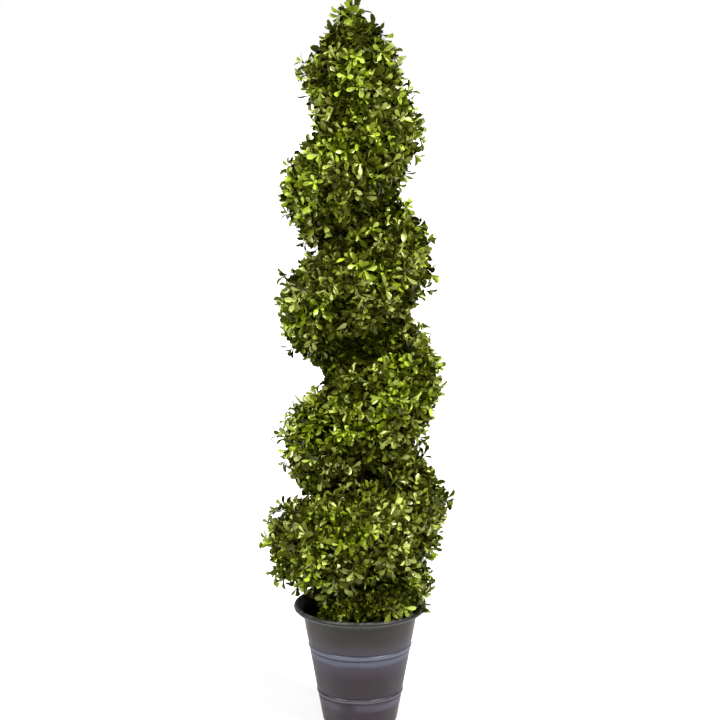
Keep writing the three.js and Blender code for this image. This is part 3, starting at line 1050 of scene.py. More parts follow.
@dataclass
class Planter:
    """Tapered bucket with a beaded lip on a flare, two double ribs and a rounded foot."""

    height: float = 0.2075
    foot_radius: float = 0.063
    taper: float = 0.182
    wall: float = 0.003
    floor: float = 0.005
    foot_rounding: float = 0.006
    foot_steps: int = 5
    bead_radius: float = 0.0045
    bead_overhang: float = 0.0088
    bead_points: int = 20
    bead_sweep: float = 1.5
    flare_height: float = 0.0105
    flare_points: int = 7
    flare_end: float = 0.62
    collar_drop: float = 0.014
    collar_depth: float = 0.0012
    collar_width: float = 0.0014
    # A painted highlight along the bead and a painted shadow under it, as places in the proud attribute.
    bead_highlight_line: Range = (0.2005, 0.0012)
    bead_highlight_strength: float = 1.5
    bead_shadow_line: Range = (0.1965, 0.0014)
    rib_heights: Range = (0.0545, 0.136)
    rib_spacing: float = 0.010
    rib_depth: float = 0.0013
    groove_width: float = 0.0017
    ridge_width: float = 0.0024
    fine_step: float = 0.0005
    coarse_step: float = 0.004
    inner_steps: int = 8
    inner_margin: float = 0.004
    sides: int = 144

    def wall_radius(self, height: Any) -> Any:
        """Gives the radius of the plain wall at a height."""
        return self.foot_radius + self.taper * height

    def flare_start(self) -> float:
        """Gives the height where the wall starts to flare."""
        return self.height - self.bead_radius - self.flare_height

    def lip_start(self) -> float:
        """Gives the height of the slim ridge under the lip."""
        return self.height - self.collar_drop

    def relief(self, height: float) -> float:
        """Tells how far the ribs stand out of the wall, or lie in it.

        Args:
            height: A height on the wall.

        Returns:
            The distance out of the plain wall, less than zero in a groove.
        """
        proud = 0.0
        for middle in self.rib_heights:
            proud += swell(height, middle, self.ridge_width)
            for groove in (middle - self.rib_spacing / 2, middle + self.rib_spacing / 2):
                proud -= swell(height, groove, self.groove_width)
        collar = swell(height, self.lip_start(), self.collar_width)
        return float(proud * self.rib_depth + collar * self.collar_depth)

    def proudness(self, heights: Array, radii: Array) -> Array:
        """Tells where the paint shows worn ridges and a painted highlight, and where it shows painted shade.

        Args:
            heights: The heights of the planter's points.
            radii: Their distances from the axis.

        Returns:
            About 1 on ridges and where a highlight is painted on the bead's face, less than 0 in grooves and
            where a shadow is painted under the bead.
        """
        proud = np.array([self.relief(height) / self.rib_depth for height in heights])
        on_bead = radii > self.wall_radius(self.height) + self.bead_overhang
        # Painted highlight along the bead's face and painted shadow under the bead.
        rubbed = self.bead_highlight_strength * swell(heights, *self.bead_highlight_line) * on_bead
        return proud + rubbed - swell(heights, *self.bead_shadow_line)

    def outer_wall(self) -> list[Range]:
        """Draws the wall from its rounded foot to the lip, closer together at the ribs.

        Returns:
            Pairs of radius and height.
        """
        points = []
        for step in range(self.foot_steps + 1):
            angle = math.pi / 2 * step / self.foot_steps
            radius = self.wall_radius(self.foot_rounding) - self.foot_rounding * (1 - math.sin(angle))
            points.append((radius, self.foot_rounding * (1 - math.cos(angle))))
        height = self.foot_rounding
        while height < self.flare_start():
            near = min(abs(height - middle) for middle in (*self.rib_heights, self.lip_start()))
            height += self.fine_step if near < self.rib_spacing else self.coarse_step
            points.append((self.wall_radius(height) + self.relief(height), height))
        return points

    def flare(self, share: float, thickness: float = 0.0) -> Range:
        """Finds a point on the flare under the bead.

        Args:
            share: How far up the flare, from 0 to 1.
            thickness: How far inside its outer face.

        Returns:
            The point's radius and height.
        """
        height = self.flare_start() + self.flare_height * share
        radius = self.wall_radius(height) + self.bead_overhang * share**2
        run = self.taper * self.flare_height + 2 * self.bead_overhang * share
        slope = math.atan2(self.flare_height, run)
        return radius - thickness * math.sin(slope), height + thickness * math.cos(slope)

    def lip(self) -> list[Range]:
        """Draws the flare, the bead round its edge and the flare's inner face.

        Returns:
            Pairs of radius and height.
        """
        centre = self.height - self.bead_radius
        bead = self.wall_radius(centre) + self.bead_overhang
        shares = [self.flare_end * i / self.flare_points for i in range(1, self.flare_points + 1)]
        points = [self.flare(share) for share in shares]
        for i in range(self.bead_points + 1):
            angle = math.pi * (self.bead_sweep * i / self.bead_points - self.bead_sweep / 2)
            radius = bead + self.bead_radius * math.cos(angle)
            points.append((radius, centre + self.bead_radius * math.sin(angle)))
        return points + [self.flare(share, self.wall) for share in reversed(shares)]

    def inner_wall(self) -> list[Range]:
        """Draws the wall's inner face from the flare down to the planter's floor.

        Returns:
            Pairs of radius and height, with the middle of the floor last.
        """
        points = []
        for step in range(self.inner_steps + 1):
            height = blend(self.flare_start(), self.floor, step / self.inner_steps)
            points.append((self.wall_radius(height) - self.wall, height))
        return points + [(0.0, self.floor)]

    def indoors(self, heights: Array, radii: Array) -> Array:
        """Tells which of the planter's points lie on its inner face.

        Args:
            heights: The heights of its points.
            radii: Their distances from the axis.

        Returns:
            1 on the inner face and 0 elsewhere.
        """
        inner = radii < self.wall_radius(heights) - self.wall / 2
        inner &= (heights > self.floor / 2) & (heights < self.flare_start() - self.inner_margin)
        return inner.astype(float)

    def build(self, effects: Effects) -> bpy.types.Object:
        """Builds and paints the planter.

        Args:
            effects: The shared surface effects.

        Returns:
            The planter, riding in place of its solid.
        """
        profile = [(0.0, 0.0)] + self.outer_wall() + self.lip() + self.inner_wall()
        mesh = lathe("planter", profile, self.sides)
        heights = np.array([point.co.z for point in mesh.vertices])
        radii = np.array([math.hypot(point.co.x, point.co.y) for point in mesh.vertices])
        store(mesh, "proud", "FLOAT", self.proudness(heights, radii))
        store(mesh, "indoors", "FLOAT", self.indoors(heights, radii))
        planter = new_object("planter", mesh)
        mesh.materials.append(PlanterFinish().material(effects, self.rib_heights, self.lip_start()))
        return settle(planter, "pot", "pot")


def settle(piece: bpy.types.Object, slot: str, *nodes: str) -> bpy.types.Object:
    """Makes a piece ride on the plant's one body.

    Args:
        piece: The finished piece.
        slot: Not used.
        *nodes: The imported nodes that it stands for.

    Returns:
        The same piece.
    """
    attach(piece, BODY)
    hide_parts(*nodes)
    faces = sum(len(polygon.vertices) - 2 for polygon in piece.data.polygons)
    LOG.info("%s: %d triangles for %s", piece.name, faces, ", ".join(nodes))
    return piece


@dataclass
class PottingFill:
    """Lumpy fill inside the planter, with loose crumbs on it."""

    planter: Planter
    rule: SpiralRule
    clearance: float = 0.0006
    socket_radius: float = 0.0113
    socket_depth: float = 0.070
    lumps: float = 0.0022
    lump_size: float = 0.014
    fine_lumps: float = 0.5
    fine_lump_ratio: float = 3.0
    rings: int = 26
    sides: int = 96
    crumb_size: float = 0.0021
    crumb_density: float = 60000.0
    crumb_least: Point = (0.35, 0.35, 0.2)
    crumb_most: Point = (1.3, 1.0, 0.8)
    crumb_slope: float = 0.6
    crumb_dry: Colour = (0.075, 0.052, 0.030)
    crumb_seed: int = 11

    def edge_radius(self, height: float) -> float:
        """Gives the fill's radius at a height, just inside the planter's wall."""
        return self.planter.wall_radius(height) - self.planter.wall - self.clearance

    def surface(self) -> bpy.types.Mesh:
        """Builds the fill with its socket for the stem.

        Returns:
            A closed mesh.
        """
        bottom = self.planter.floor + self.clearance
        top = self.rule.fill_top
        profile = [(0.0, bottom), (self.edge_radius(bottom), bottom)]
        for i in range(self.rings + 1):
            share = i / self.rings
            radius = blend(self.edge_radius(top), self.socket_radius, share)
            profile.append((radius, top + self.rule.fill_dome * math.sin(math.pi / 2 * share)))
        profile.append((self.socket_radius, top - self.socket_depth))
        profile.append((0.0, top - self.socket_depth))
        mesh = lathe("potting_soil", profile, self.sides)
        layers = ((1.0, 1.0), (self.fine_lumps, self.fine_lump_ratio))
        for point in mesh.vertices:
            if point.co.z > top - self.lumps:
                for share, ratio in layers:
                    point.co.z += self.lumps * share * noise.noise(point.co / self.lump_size * ratio)
        return mesh

    def crumbs(self, surface: bpy.types.Mesh, material: bpy.types.Material) -> bpy.types.Object:
        """Scatters crumbs over the fill's top.

        Args:
            surface: The fill's mesh.
            material: The crumbs' material.

        Returns:
            The crumbs as one object.
        """
        tree = GrowthTree("Crumb scatter")
        density = tree.opening("Density")
        size = tree.opening("Crumb Size")
        seed = tree.opening("Seed", "Int")
        coat = tree.opening("Material", "Material")
        slope = tree.split(tree.flow("GeometryNodeInputNormal"))["Z"]
        height = tree.split(tree.flow("GeometryNodeInputPosition"))["Z"]
        level = tree.sum("GREATER_THAN", slope, self.crumb_slope)
        high = tree.sum("GREATER_THAN", height, self.rule.fill_top - 2 * self.lumps)
        thick = tree.sum("MULTIPLY", density, tree.sum("MULTIPLY", level, high))
        ground = {"Mesh": tree.source.outputs["Geometry"], "Density": thick, "Seed": seed}
        points = tree.flow("GeometryNodeDistributePointsOnFaces", ground)
        grain = tree.flow("GeometryNodeMeshIcoSphere", {"Radius": 1.0, "Subdivisions": 1})
        shape = tree.chance("FLOAT_VECTOR", self.crumb_least, self.crumb_most, seed)
        scale = tree.flow("ShaderNodeVectorMath", {"Vector": shape, "Scale": size}, operation="SCALE")
        turn = tree.chance("FLOAT_VECTOR", (0.0, 0.0, 0.0), (FULL_TURN,) * 3, seed)
        crumbs = tree.set_out(points, grain, {"Scale": scale, "Rotation": turn})
        tree.close(tree.coat(crumbs, coat))
        values = {
            "Density": self.crumb_density,
            "Crumb Size": self.crumb_size,
            "Seed": self.crumb_seed,
            "Material": material,
        }
        return tree.grow("potting_crumbs", surface.copy(), values)

    def build(self, effects: Effects) -> list[bpy.types.Object]:
        """Builds the fill and its crumbs.

        Args:
            effects: The shared surface effects.

        Returns:
            Both pieces.
        """
        mesh = self.surface()
        crumbs = self.crumbs(mesh, SoilFinish("soil_crumbs", dry=self.crumb_dry).material(effects))
        soil = new_object("potting_soil", mesh)
        mesh.materials.append(SoilFinish("soil").material(effects))
        return [settle(piece, "potting_fill", "potting_fill") for piece in (soil, crumbs)]


@dataclass
class Stem:
    """The upright stem with bark that runs along it."""

    rule: SpiralRule
    foot: float = 0.0983
    top: float = 1.150
    foot_radius: float = 0.011
    tip_radius: float = 0.005
    relief: float = 0.0014
    crack_scale: Point = (190.0, 190.0, 32.0)
    fine_cracks: float = 0.4
    fine_crack_ratio: float = 2.3
    buried_bark: float = 0.01
    sides: int = 30
    rings: int = 150

    def radius(self, height: float) -> float:
        """Gives the stem's radius, even in its socket and tapering above."""
        share = max(0.0, (height - self.rule.fill_top) / (self.top - self.rule.fill_top))
        return blend(self.foot_radius, self.tip_radius, share)

    def dent(self, place: Vector) -> float:
        """Tells how deep the bark's cracks are.

        Args:
            place: A point on the stem.

        Returns:
            Less than 0 in a crack, as a share of the full relief.
        """
        drawn = Vector([part * scale for part, scale in zip(place, self.crack_scale)])
        fine = min(0.0, noise.noise(drawn * self.fine_crack_ratio))
        return min(0.0, noise.noise(drawn)) + self.fine_cracks * fine

    def build(self, effects: Effects) -> bpy.types.Object:
        """Builds the stem and its bark.

        Args:
            effects: The shared surface effects.

        Returns:
            The stem, riding in place of its solid.
        """
        profile = [(0.0, self.foot)]
        for i in range(self.rings + 1):
            height = blend(self.foot, self.top, i / self.rings)
            profile.append((self.radius(height), height))
        profile.append((0.0, self.top))
        mesh = lathe("stem_bark", profile, self.sides)
        for point in mesh.vertices:
            level = Vector((point.co.x, point.co.y, 0.0))
            if level.length > 0 and point.co.z > self.rule.fill_top - self.buried_bark:
                point.co += level.normalized() * self.relief * self.dent(point.co)
        places = np.array([point.co for point in mesh.vertices])
        mesh.vertices.foreach_set("co", self.rule.leaning(places).ravel())
        stem = new_object("stem_bark", mesh)
        mesh.materials.append(BarkFinish().material(effects))
        return settle(stem, "stem", "stem")


@dataclass
class Growth:
    """What one mass grows: chains of points for its shoots, and the places of its leaves."""

    chains: list[Array] = field(default_factory=list)
    widths: list[Array] = field(default_factory=list)
    woody: list[Array] = field(default_factory=list)
    roots: list[Array] = field(default_factory=list)
    alongs: list[Array] = field(default_factory=list)
    uppers: list[Array] = field(default_factory=list)
    sizes: list[Array] = field(default_factory=list)
    tones: list[Array] = field(default_factory=list)

    def add_chains(self, chains: Array, widths: Array, woody: bool) -> None:
        """Adds shoots.

        Args:
            chains: Points, as shoot by point by coordinate.
            widths: The shoot's radius at each of its points.
            woody: Whether they have brown bark.
        """
        self.chains.append(chains)
        self.widths.append(np.broadcast_to(widths, chains.shape[:2]))
        self.woody.append(np.full(chains.shape[:2], int(woody)))

    def add_leaves(self, root: Array, along: Array, upper: Array, size: Array, tone: Array) -> None:
        """Adds leaves.

        Args:
            root: Where each leaf starts.
            along: The way it points.
            upper: The way its upper face looks.
            size: Its length against a full leaf's.
            tone: The number of its tone.
        """
        self.roots.append(root)
        self.alongs.append(unit(along))
        self.uppers.append(unit(upper))
        self.sizes.append(size)
        self.tones.append(tone)


def bent(bend: Bend, share: Array) -> tuple[Array, Array]:
    """Walks along bent shoots.

    Args:
        bend: Where each shoot starts, the point that it bends towards and its end.
        share: How far along it to go, from 0 to 1.

    Returns:
        The points there, and the directions of growth.
    """
    start, control, end = bend
    share = share[:, None]
    place = start * (1 - share) ** 2 + control * 2 * share * (1 - share) + end * share**2
    way = (control - start) * (1 - share) + (end - control) * share
    return place, unit(way)


@dataclass
class SprayHabit:
    """How a spray grows: a bough from the stem, an axis, and leafy sprigs that fan out of it."""

    length: float = 0.080
    least_length: float = 0.03
    length_spread: Range = (0.9, 1.1)
    stem_room: float = 0.014
    spacing: float = 0.040
    sprigs: int = 8
    fork_places: Range = (0.2, 0.72)
    fork_stride: int = 5
    fan_turn: float = 2.4
    fan_jitter: float = 0.4
    fan_spread: Range = (0.8, 1.2)
    fullness: float = 0.5
    spread: float = 0.66
    upward: float = 0.38
    jitter: float = 0.32
    face_depth: float = 0.016
    unevenness: float = 0.015
    whorls: int = 5
    whorl_spacing: float = 0.0034
    whorl_stretch: float = 1.5
    whorl_jitter: float = 0.2
    lowest_whorl: float = 0.12
    young_tilt: float = 0.80
    old_tilt: float = 1.22
    tip_tilt: float = 0.36
    tilt_spread: float = 0.16
    face_jitter: float = 0.25
    young_size: float = 0.9
    tip_size: float = 0.6
    grown_age: float = 0.25
    size_spread: Range = (0.82, 1.18)
    inner_whorls: int = 7
    inner_places: Range = (0.1, 0.8)
    inner_sizes: Range = (1.1, 1.5)
    inner_lean: float = 0.4
    stray_share: float = 0.058
    stray_length: float = 0.024
    spray_contrast: float = 0.13
    # Painted light on the tip whorls and painted shade on the deeper whorls, as chances of a tone step.
    bright_tips: float = 0.78
    depth_shading: tuple[float, ...] = (0.0, 0.34, 0.76, 0.95, 0.99)
    tone_steps: tuple[float, float, float] = (0.16, 0.54, 0.92)
    tone_shifts: tuple[int, ...] = (-1, 0, 0, 1)
    lush_share: float = 0.42
    lush_light: float = 0.06
    bough_radius: float = 0.0022
    bough_taper: tuple[float, ...] = (1.0, 0.9, 0.8, 0.7)
    bough_droop: float = 0.55
    bough_root: float = 0.007
    bough_lowest: float = 0.176
    knee_reach: float = 0.7
    knee_rise: float = 0.55
    axis_radius: float = 0.0013
    axis_places: tuple[float, ...] = (0.0, 0.35, 0.7)
    axis_taper: tuple[float, ...] = (1.0, 0.8, 0.5)
    sprig_radius: float = 0.0007
    sprig_places: tuple[float, ...] = (0.0, 0.35, 0.7, 1.0)
    sprig_taper: tuple[float, ...] = (1.2, 1.0, 0.8, 0.6)

    def grow(self, ends: Array, outward: Array, light: Array, rng: Chance) -> Growth:
        """Grows one spray to each seat.

        Args:
            ends: Where sprays meet the face of the foliage.
            outward: The way the face looks there.
            light: How much light each seat gets, about 0 to 1.
            rng: The source of chance.

        Returns:
            All shoots and leaves.
        """
        growth = Growth()
        count = len(ends)
        rise = np.array([0, 0, self.upward])
        way = unit(outward + rng.uniform(-1, 1, (count, 3)) * self.jitter + rise)
        room = np.hypot(ends[:, 0], ends[:, 1]) - self.stem_room
        length = np.minimum(self.length, np.maximum(room, self.least_length))
        length = length * rng.uniform(*self.length_spread, count)
        base = ends - way * length[:, None]
        self.add_boughs(growth, base, way * length[:, None])
        lush = rng.spawn(1)[0].random(count) < self.lush_share
        # The spray's tone paints the light at its seat, with a random spread and a lift for lush sprays.
        painted_brightness = light + rng.normal(0, self.spray_contrast, count) + lush * self.lush_light
        tone = np.digitize(painted_brightness, self.tone_steps)
        side = unit(np.cross(way, unit(rng.normal(size=(count, 3)))))
        across = np.cross(way, side)
        for i in range(self.sprigs):
            fork = blend(*self.fork_places, ((i * self.fork_stride) % self.sprigs) / self.sprigs)
            start = base + way * (length * fork)[:, None]
            angle = i * self.fan_turn + rng.uniform(-self.fan_jitter, self.fan_jitter, count)
            radius = self.spacing * self.spread * math.sqrt(i / self.sprigs)
            radius = radius * rng.uniform(*self.fan_spread, count)
            sway = side * (radius * np.cos(angle))[:, None] + across * (radius * np.sin(angle))[:, None]
            stray = (rng.random(count) < self.stray_share) * self.stray_length
            push = stray - self.face_depth - rng.random(count) * self.unevenness
            end = ends + sway + way * push[:, None]
            straight = np.linalg.norm(end - start, axis=1)
            control = start + way * (straight * self.fullness)[:, None]
            shift = rng.choice(self.tone_shifts, count)
            # Stray sprigs take one tone darker: painted shade on leaves that stick out of the face.
            own = np.clip(tone + shift - (stray > 0), 0, LeafTone.NEW.value)
            self.add_sprig(growth, (start, control, end), own, lush, rng)
        self.add_inner_leaves(growth, base, way, length, rng)
        return growth

    def add_boughs(self, growth: Growth, base: Array, reach_out: Array) -> None:
        """Adds a bough from the stem to each spray, and the spray's axis.

        Args:
            growth: What has grown so far.
            base: Where each spray begins.
            reach_out: From there to the face of the foliage.
        """
        turn = np.arctan2(base[:, 1], base[:, 0]) / FULL_TURN
        reach = np.hypot(base[:, 0], base[:, 1])
        low = np.maximum(base[:, 2] - reach * self.bough_droop, self.bough_lowest)
        foot = around(turn, np.full(len(base), self.bough_root), low)
        knee = around(turn, reach * self.knee_reach, blend(low, base[:, 2], self.knee_rise))
        chain = np.stack([foot, blend(foot, knee, 0.5), knee, base], axis=1)
        growth.add_chains(chain, self.bough_radius * np.array(self.bough_taper), True)
        axis = np.stack([base + reach_out * share for share in self.axis_places], axis=1)
        growth.add_chains(axis, self.axis_radius * np.array(self.axis_taper), True)

    def add_sprig(self, growth: Growth, bend: Bend, tone: Array, lush: Array, rng: Chance) -> None:
        """Adds one leafy sprig to each spray.

        Args:
            growth: What has grown so far.
            bend: Where each sprig forks off, the point that it bends towards and its tip.
            tone: The tone of its leaves.
            lush: Whether its greens are the more vivid ones.
            rng: The source of chance.
        """
        start, control, end = bend
        count = len(start)
        steps = [bent(bend, np.full(count, share))[0] for share in self.sprig_places]
        growth.add_chains(np.stack(steps, axis=1), self.sprig_radius * np.array(self.sprig_taper), False)
        length = np.linalg.norm(control - start, axis=1) + np.linalg.norm(end - control, axis=1)
        spin = rng.random(count) * FULL_TURN
        aside = unit(rng.normal(size=(count, 3)))
        for whorl in range(-1, self.whorls):
            at_tip = whorl < 0
            from_tip = self.whorl_spacing * max(whorl, 0) ** self.whorl_stretch
            share = np.clip(1 - from_tip / length, self.lowest_whorl, 1.0)
            point, along = bent(bend, share)
            side = unit(np.cross(along, aside))
            across = np.cross(along, side)
            age = max(whorl, 0) / (self.whorls - 1)
            tilt = self.tip_tilt if at_tip else blend(self.young_tilt, self.old_tilt, age)
            tilts = tilt + rng.normal(0, self.tilt_spread, count)
            grown = blend(self.young_size, 1.0, min(1.0, age / self.grown_age))
            size = (self.tip_size if at_tip else grown) * rng.uniform(*self.size_spread, count)
            # Painted shade and light by depth: deeper whorls drop up to two tones and most tip whorls rise
            # one; this also stands for aged leaves inside and young ones at the tip.
            fade = self.depth_shading[max(whorl, 0)]
            brighter = (rng.random(count) < self.bright_tips) * (whorl < 1)
            depth_shaded = tone + brighter - rng.binomial(2, fade, count)
            for half in range(2):
                own = depth_shaded + rng.choice(self.tone_shifts, count)
                turned = rng.normal(0, self.whorl_jitter, count)
                azimuth = spin + whorl * math.pi / 2 + half * math.pi + turned
                outwards = side * np.cos(azimuth)[:, None] + across * np.sin(azimuth)[:, None]
                way = along * np.cos(tilts)[:, None] + outwards * np.sin(tilts)[:, None]
                upper = along * np.sin(tilts)[:, None] - outwards * np.cos(tilts)[:, None]
                upper = upper + rng.normal(0, self.face_jitter, (count, 3))
                own = np.clip(own, 0, LeafTone.NEW.value)
                own = own + (lush & (own > 0)) * (LeafTone.LUSH_HALF_LIT_MATURE.value - LeafTone.HALF_LIT_MATURE.value)
                growth.add_leaves(point, way, upper, size, own)

    def add_inner_leaves(
        self, growth: Growth, base: Array, way: Array, length: Array, rng: Chance
    ) -> None:
        """Adds shaded leaves along the axis of each spray.

        Args:
            growth: What has grown so far.
            base: Where each spray begins.
            way: The way it grows.
            length: Its length.
            rng: The source of chance.
        """
        count = len(base)
        for whorl in range(self.inner_whorls):
            share = blend(*self.inner_places, whorl / self.inner_whorls)
            point = base + way * (length * share)[:, None]
            for _ in range(2):
                along = unit(rng.normal(size=(count, 3)) + way * self.inner_lean)
                upper = rng.normal(size=(count, 3))
                size = rng.uniform(*self.inner_sizes, count)
                growth.add_leaves(point, along, upper, size, np.zeros(count))


@dataclass(frozen=True)
class LooseSprig:
    """One sprig that has sprung out of its mass.

    It leaves the mass at start, bends towards control and ends at end.
    """

    start: Point
    control: Point
    end: Point
    tone: LeafTone

    def grow(self, habit: SprayHabit, growth: Growth, rng: Chance) -> None:
        """Adds the sprig to what its mass grows.

        Args:
            habit: How sprigs grow.
            growth: What has grown so far.
            rng: The source of chance.
        """
        bend = tuple(np.array([point]) for point in (self.start, self.control, self.end))
        habit.add_sprig(growth, bend, np.array([self.tone.value]), np.array([True]), rng)


@dataclass(frozen=True)
class Daylight:
    """How much light a place on the foliage gets, painted into its leaves as paler greens where it is lit
    and darker ones where it is shaded.
    """

    least: float = -0.145
    prominence: float = 0.78
    upper_side: float = 0.22
    underside: float = 0.62
    higher: float = 0.26
    near_fill: float = 1.5
    fill_shade: float = 0.08

    def at(self, rule: SpiralRule, turn: float, radius: float, height: float, upness: float) -> float:
        """Rates the light at one place.

        Args:
            rule: The spiral.
            turn: The place's turn.
            radius: Its distance from the stem.
            height: Its height.
            upness: How far its face looks up, from -1 to 1.

        Returns:
            The light, about 0 to 1.
        """
        # Painted light and shade: seats far out from the stem, looking up and higher up get paler tones,
        # hollows and undersides darker ones.
        prominence = self.prominence * (radius / float(rule.reach(turn)))
        facing = self.upper_side * max(upness, 0.0) + self.underside * min(upness, 0.0)
        higher = self.higher * (height / rule.height - 0.5)
        # Painted shade: seats just above the fill, under the foliage that overhangs the mouth, get darker
        # tones.
        hidden = min(1.0, max(0.0, 1 - (height - rule.fill_top) / self.fill_shade))
        return self.least + prominence + facing + higher - self.near_fill * hidden


@dataclass
class FoliageMass:
    """One mass of the foliage: a set of seats that sprays grow out to."""

    name: str
    rule: SpiralRule
    planter: Planter
    habit: SprayHabit
    mouth_gap: float = 0.014
    lip_gap: float = 0.006
    rim_gap: float = 0.002
    wall_gaps: Range = (0.007, 0.016)
    fill_gap: float = 0.004
    stem_radius: float = 0.012
    stem_top: float = 1.15
    leaf_checks: tuple[float, ...] = (0.0, 0.5, 1.0)
    loose: tuple[LooseSprig, ...] = ()

    def seats(self, rng: Chance) -> tuple[Array, Array, Array]:
        """Finds where the mass's sprays meet its face.

        Args:
            rng: The source of chance.

        Returns:
            The seats, the way the face looks there, and the light there.
        """
        raise NotImplementedError

    def inside_mouth(self, radius: Array, height: Array) -> Array:
        """Draws a radius in where it would meet the planter's lip.

        Args:
            radius: Distances from the axis.
            height: Heights.

        Returns:
            The distances that clear the planter.
        """
        mouth = self.planter.wall_radius(self.rule.fill_top) - self.planter.wall - self.mouth_gap
        low = height < self.planter.height + self.lip_gap
        return np.where(low, np.minimum(radius, mouth), radius)

    def clear_of_hard_parts(self, growth: Growth, leaf_length: float) -> tuple[Array, ...]:
        """Leaves out the leaves that would pass through the planter, the fill or the stem.

        Args:
            growth: What has grown.
            leaf_length: The length of a full leaf.

        Returns:
            The kept leaves' roots, ways, upper faces, sizes and tones.
        """
        parts = (growth.roots, growth.alongs, growth.uppers, growth.sizes, growth.tones)
        leaves = tuple(np.concatenate(part) for part in parts)
        root, along, _, size, _ = leaves
        within, without = self.wall_gaps
        keep = np.ones(len(root), bool)
        for share in self.leaf_checks:
            point = root + along * (size * leaf_length * share)[:, None]
            radius = np.hypot(point[:, 0], point[:, 1])
            height = point[:, 2]
            wall = self.planter.wall_radius(np.minimum(height, self.planter.height))
            in_wall = (radius > wall - within) & (radius < wall + without)
            in_wall &= height < self.planter.height + self.rim_gap
            in_fill = (height < self.rule.fill_top + self.fill_gap) & (radius < wall)
            in_stem = (radius < self.stem_radius) & (height < self.stem_top)
            keep &= ~(in_wall | in_fill | in_stem)
        return tuple(part[keep] for part in leaves)

    def build(self, leaf_tree: LeafTree, shoot_tree: ShootTree, seed: int) -> list[bpy.types.Object]:
        """Grows the mass.

        Args:
            leaf_tree: Sets leaves on points.
            shoot_tree: Gives shoots their thickness.
            seed: Makes the growth repeatable.

        Returns:
            The mass's leaves and its twigs.
        """
        rng = np.random.default_rng(seed)
        ends, outward, light = self.seats(rng)
        growth = self.habit.grow(ends, outward, light, rng)
        for sprig in self.loose:
            sprig.grow(self.habit, growth, rng)
        leaves = leaf_tree.set_leaves(f"leaves_{self.name}", self, growth, rng)
        twigs = shoot_tree.set_shoots(f"twigs_{self.name}", self, growth)
        node = f"foliage_{self.name}"
        return [settle(piece, "leaves", node) for piece in (leaves, twigs)]


@dataclass
class StrandHalf(FoliageMass):
    """Half a turn of the strand."""

    start: float = 0.0
    daylight: Daylight = Daylight()
    profile_points: int = 70
    column_share: float = 0.88
    column_jitter: float = 0.2
    first_row: Range = (0.2, 0.8)
    row_shift: float = 0.6
    row_margin: float = 0.2
    slope_window: float = 0.012
    least_slope: float = 1e-6

    def face(self, turn: float) -> tuple[Array, Array]:
        """Draws the upright outline of the foliage at one turn.

        Args:
            turn: The turn.

        Returns:
            The outline's radii and heights, from the floor to the ceiling of its space.
        """
        rule = self.rule
        heights = np.linspace(float(rule.floor(turn)), float(rule.ceiling(turn)), self.profile_points)
        square = np.maximum(rule.radius(turn) ** 2 - (heights - rule.middle(turn)) ** 2, 0)
        radii = np.maximum(rule.offset(turn) + np.sqrt(square), rule.neck(turn))
        return self.inside_mouth(radii, heights), heights

    def seats(self, rng: Chance) -> tuple[Array, Array, Array]:
        """Spaces seats evenly over the half turn's face.

        Args:
            rng: The source of chance.

        Returns:
            The seats, the way the face looks there, and the light there.
        """
        spacing = self.habit.spacing
        reach = float(self.rule.reach(self.start + HALF_LAP / 2))
        columns = round(HALF_LAP * FULL_TURN * reach * self.column_share / spacing)
        ends, outward, light = [], [], []
        for column in range(columns):
            shift = rng.uniform(-self.column_jitter, self.column_jitter)
            turn = self.start + HALF_LAP * (column + 0.5 + shift) / columns
            radii, heights = self.face(turn)
            steps = np.hypot(np.diff(radii), np.diff(heights))
            walked = np.concatenate([[0], np.cumsum(steps)])
            rows = max(2, round(walked[-1] / spacing))
            first = rng.uniform(*self.first_row)
            for row in range(rows):
                distance = walked[-1] * (row + first * self.row_shift + self.row_margin) / rows
                window = [distance - self.slope_window, distance, distance + self.slope_window]
                around_it = np.clip(window, 0, walked[-1])
                radius = np.interp(around_it, walked, radii)
                height = np.interp(around_it, walked, heights)
                rise, run = height[2] - height[0], radius[2] - radius[0]
                upness = -run / max(math.hypot(rise, run), self.least_slope)
                ends.append(around(turn, radius[1], height[1]))
                outward.append(around(turn, rise, -run))
                light.append(self.daylight.at(self.rule, turn, radius[1], height[1], upness))
        return np.array(ends), unit(np.array(outward)), np.array(light)


@dataclass
class Tip(FoliageMass):
    """The blunt cone that closes the top."""

    floor_turn: float = 3.5
    # Painted light: every seat on the tip counts as well lit, so its leaves take paler tones.
    light: float = 0.85
    seat_share: float = 0.9
    ring_share: float = 0.9
    lap_place: Range = (0.2, 0.8)
    ring_jitter: float = 0.25
    top_gap: float = 0.02
    seam_gap: float = 0.005
    crown_gap: float = 0.006
    outwards: Range = (0.95, 0.55)
    upwards: Range = (0.2, 0.7)

    def seats(self, rng: Chance) -> tuple[Array, Array, Array]:
        """Spaces seats in rings over the tip.

        Args:
            rng: The source of chance.

        Returns:
            The seats, the way the face looks there, and the light there.
        """
        rule = self.rule
        spacing = self.habit.spacing * self.seat_share
        ends, outward = [], []
        height = float(rule.ceiling(self.floor_turn))
        while height < rule.height - self.top_gap:
            radius = float(rule.tip_radius(height))
            count = max(3, round(FULL_TURN * radius / spacing))
            share = max(0.0, float(rule.tip_share(height)))
            for i in range(count):
                lap = (i + rng.uniform(*self.lap_place)) / count
                turn = lap + math.ceil(self.floor_turn - lap)
                level = height + rng.uniform(-self.ring_jitter, self.ring_jitter) * spacing
                if level > float(rule.ceiling(turn)) - self.seam_gap:
                    ends.append(around(turn, radius, level))
                    outward.append(around(turn, blend(*self.outwards, share), blend(*self.upwards, share)))
            height += spacing * self.ring_share
        ends.append(np.array([0.0, 0.0, rule.height - self.crown_gap]))
        outward.append(np.array([0.0, 0.0, 1.0]))
        return np.array(ends), unit(np.array(outward)), np.full(len(ends), self.light)


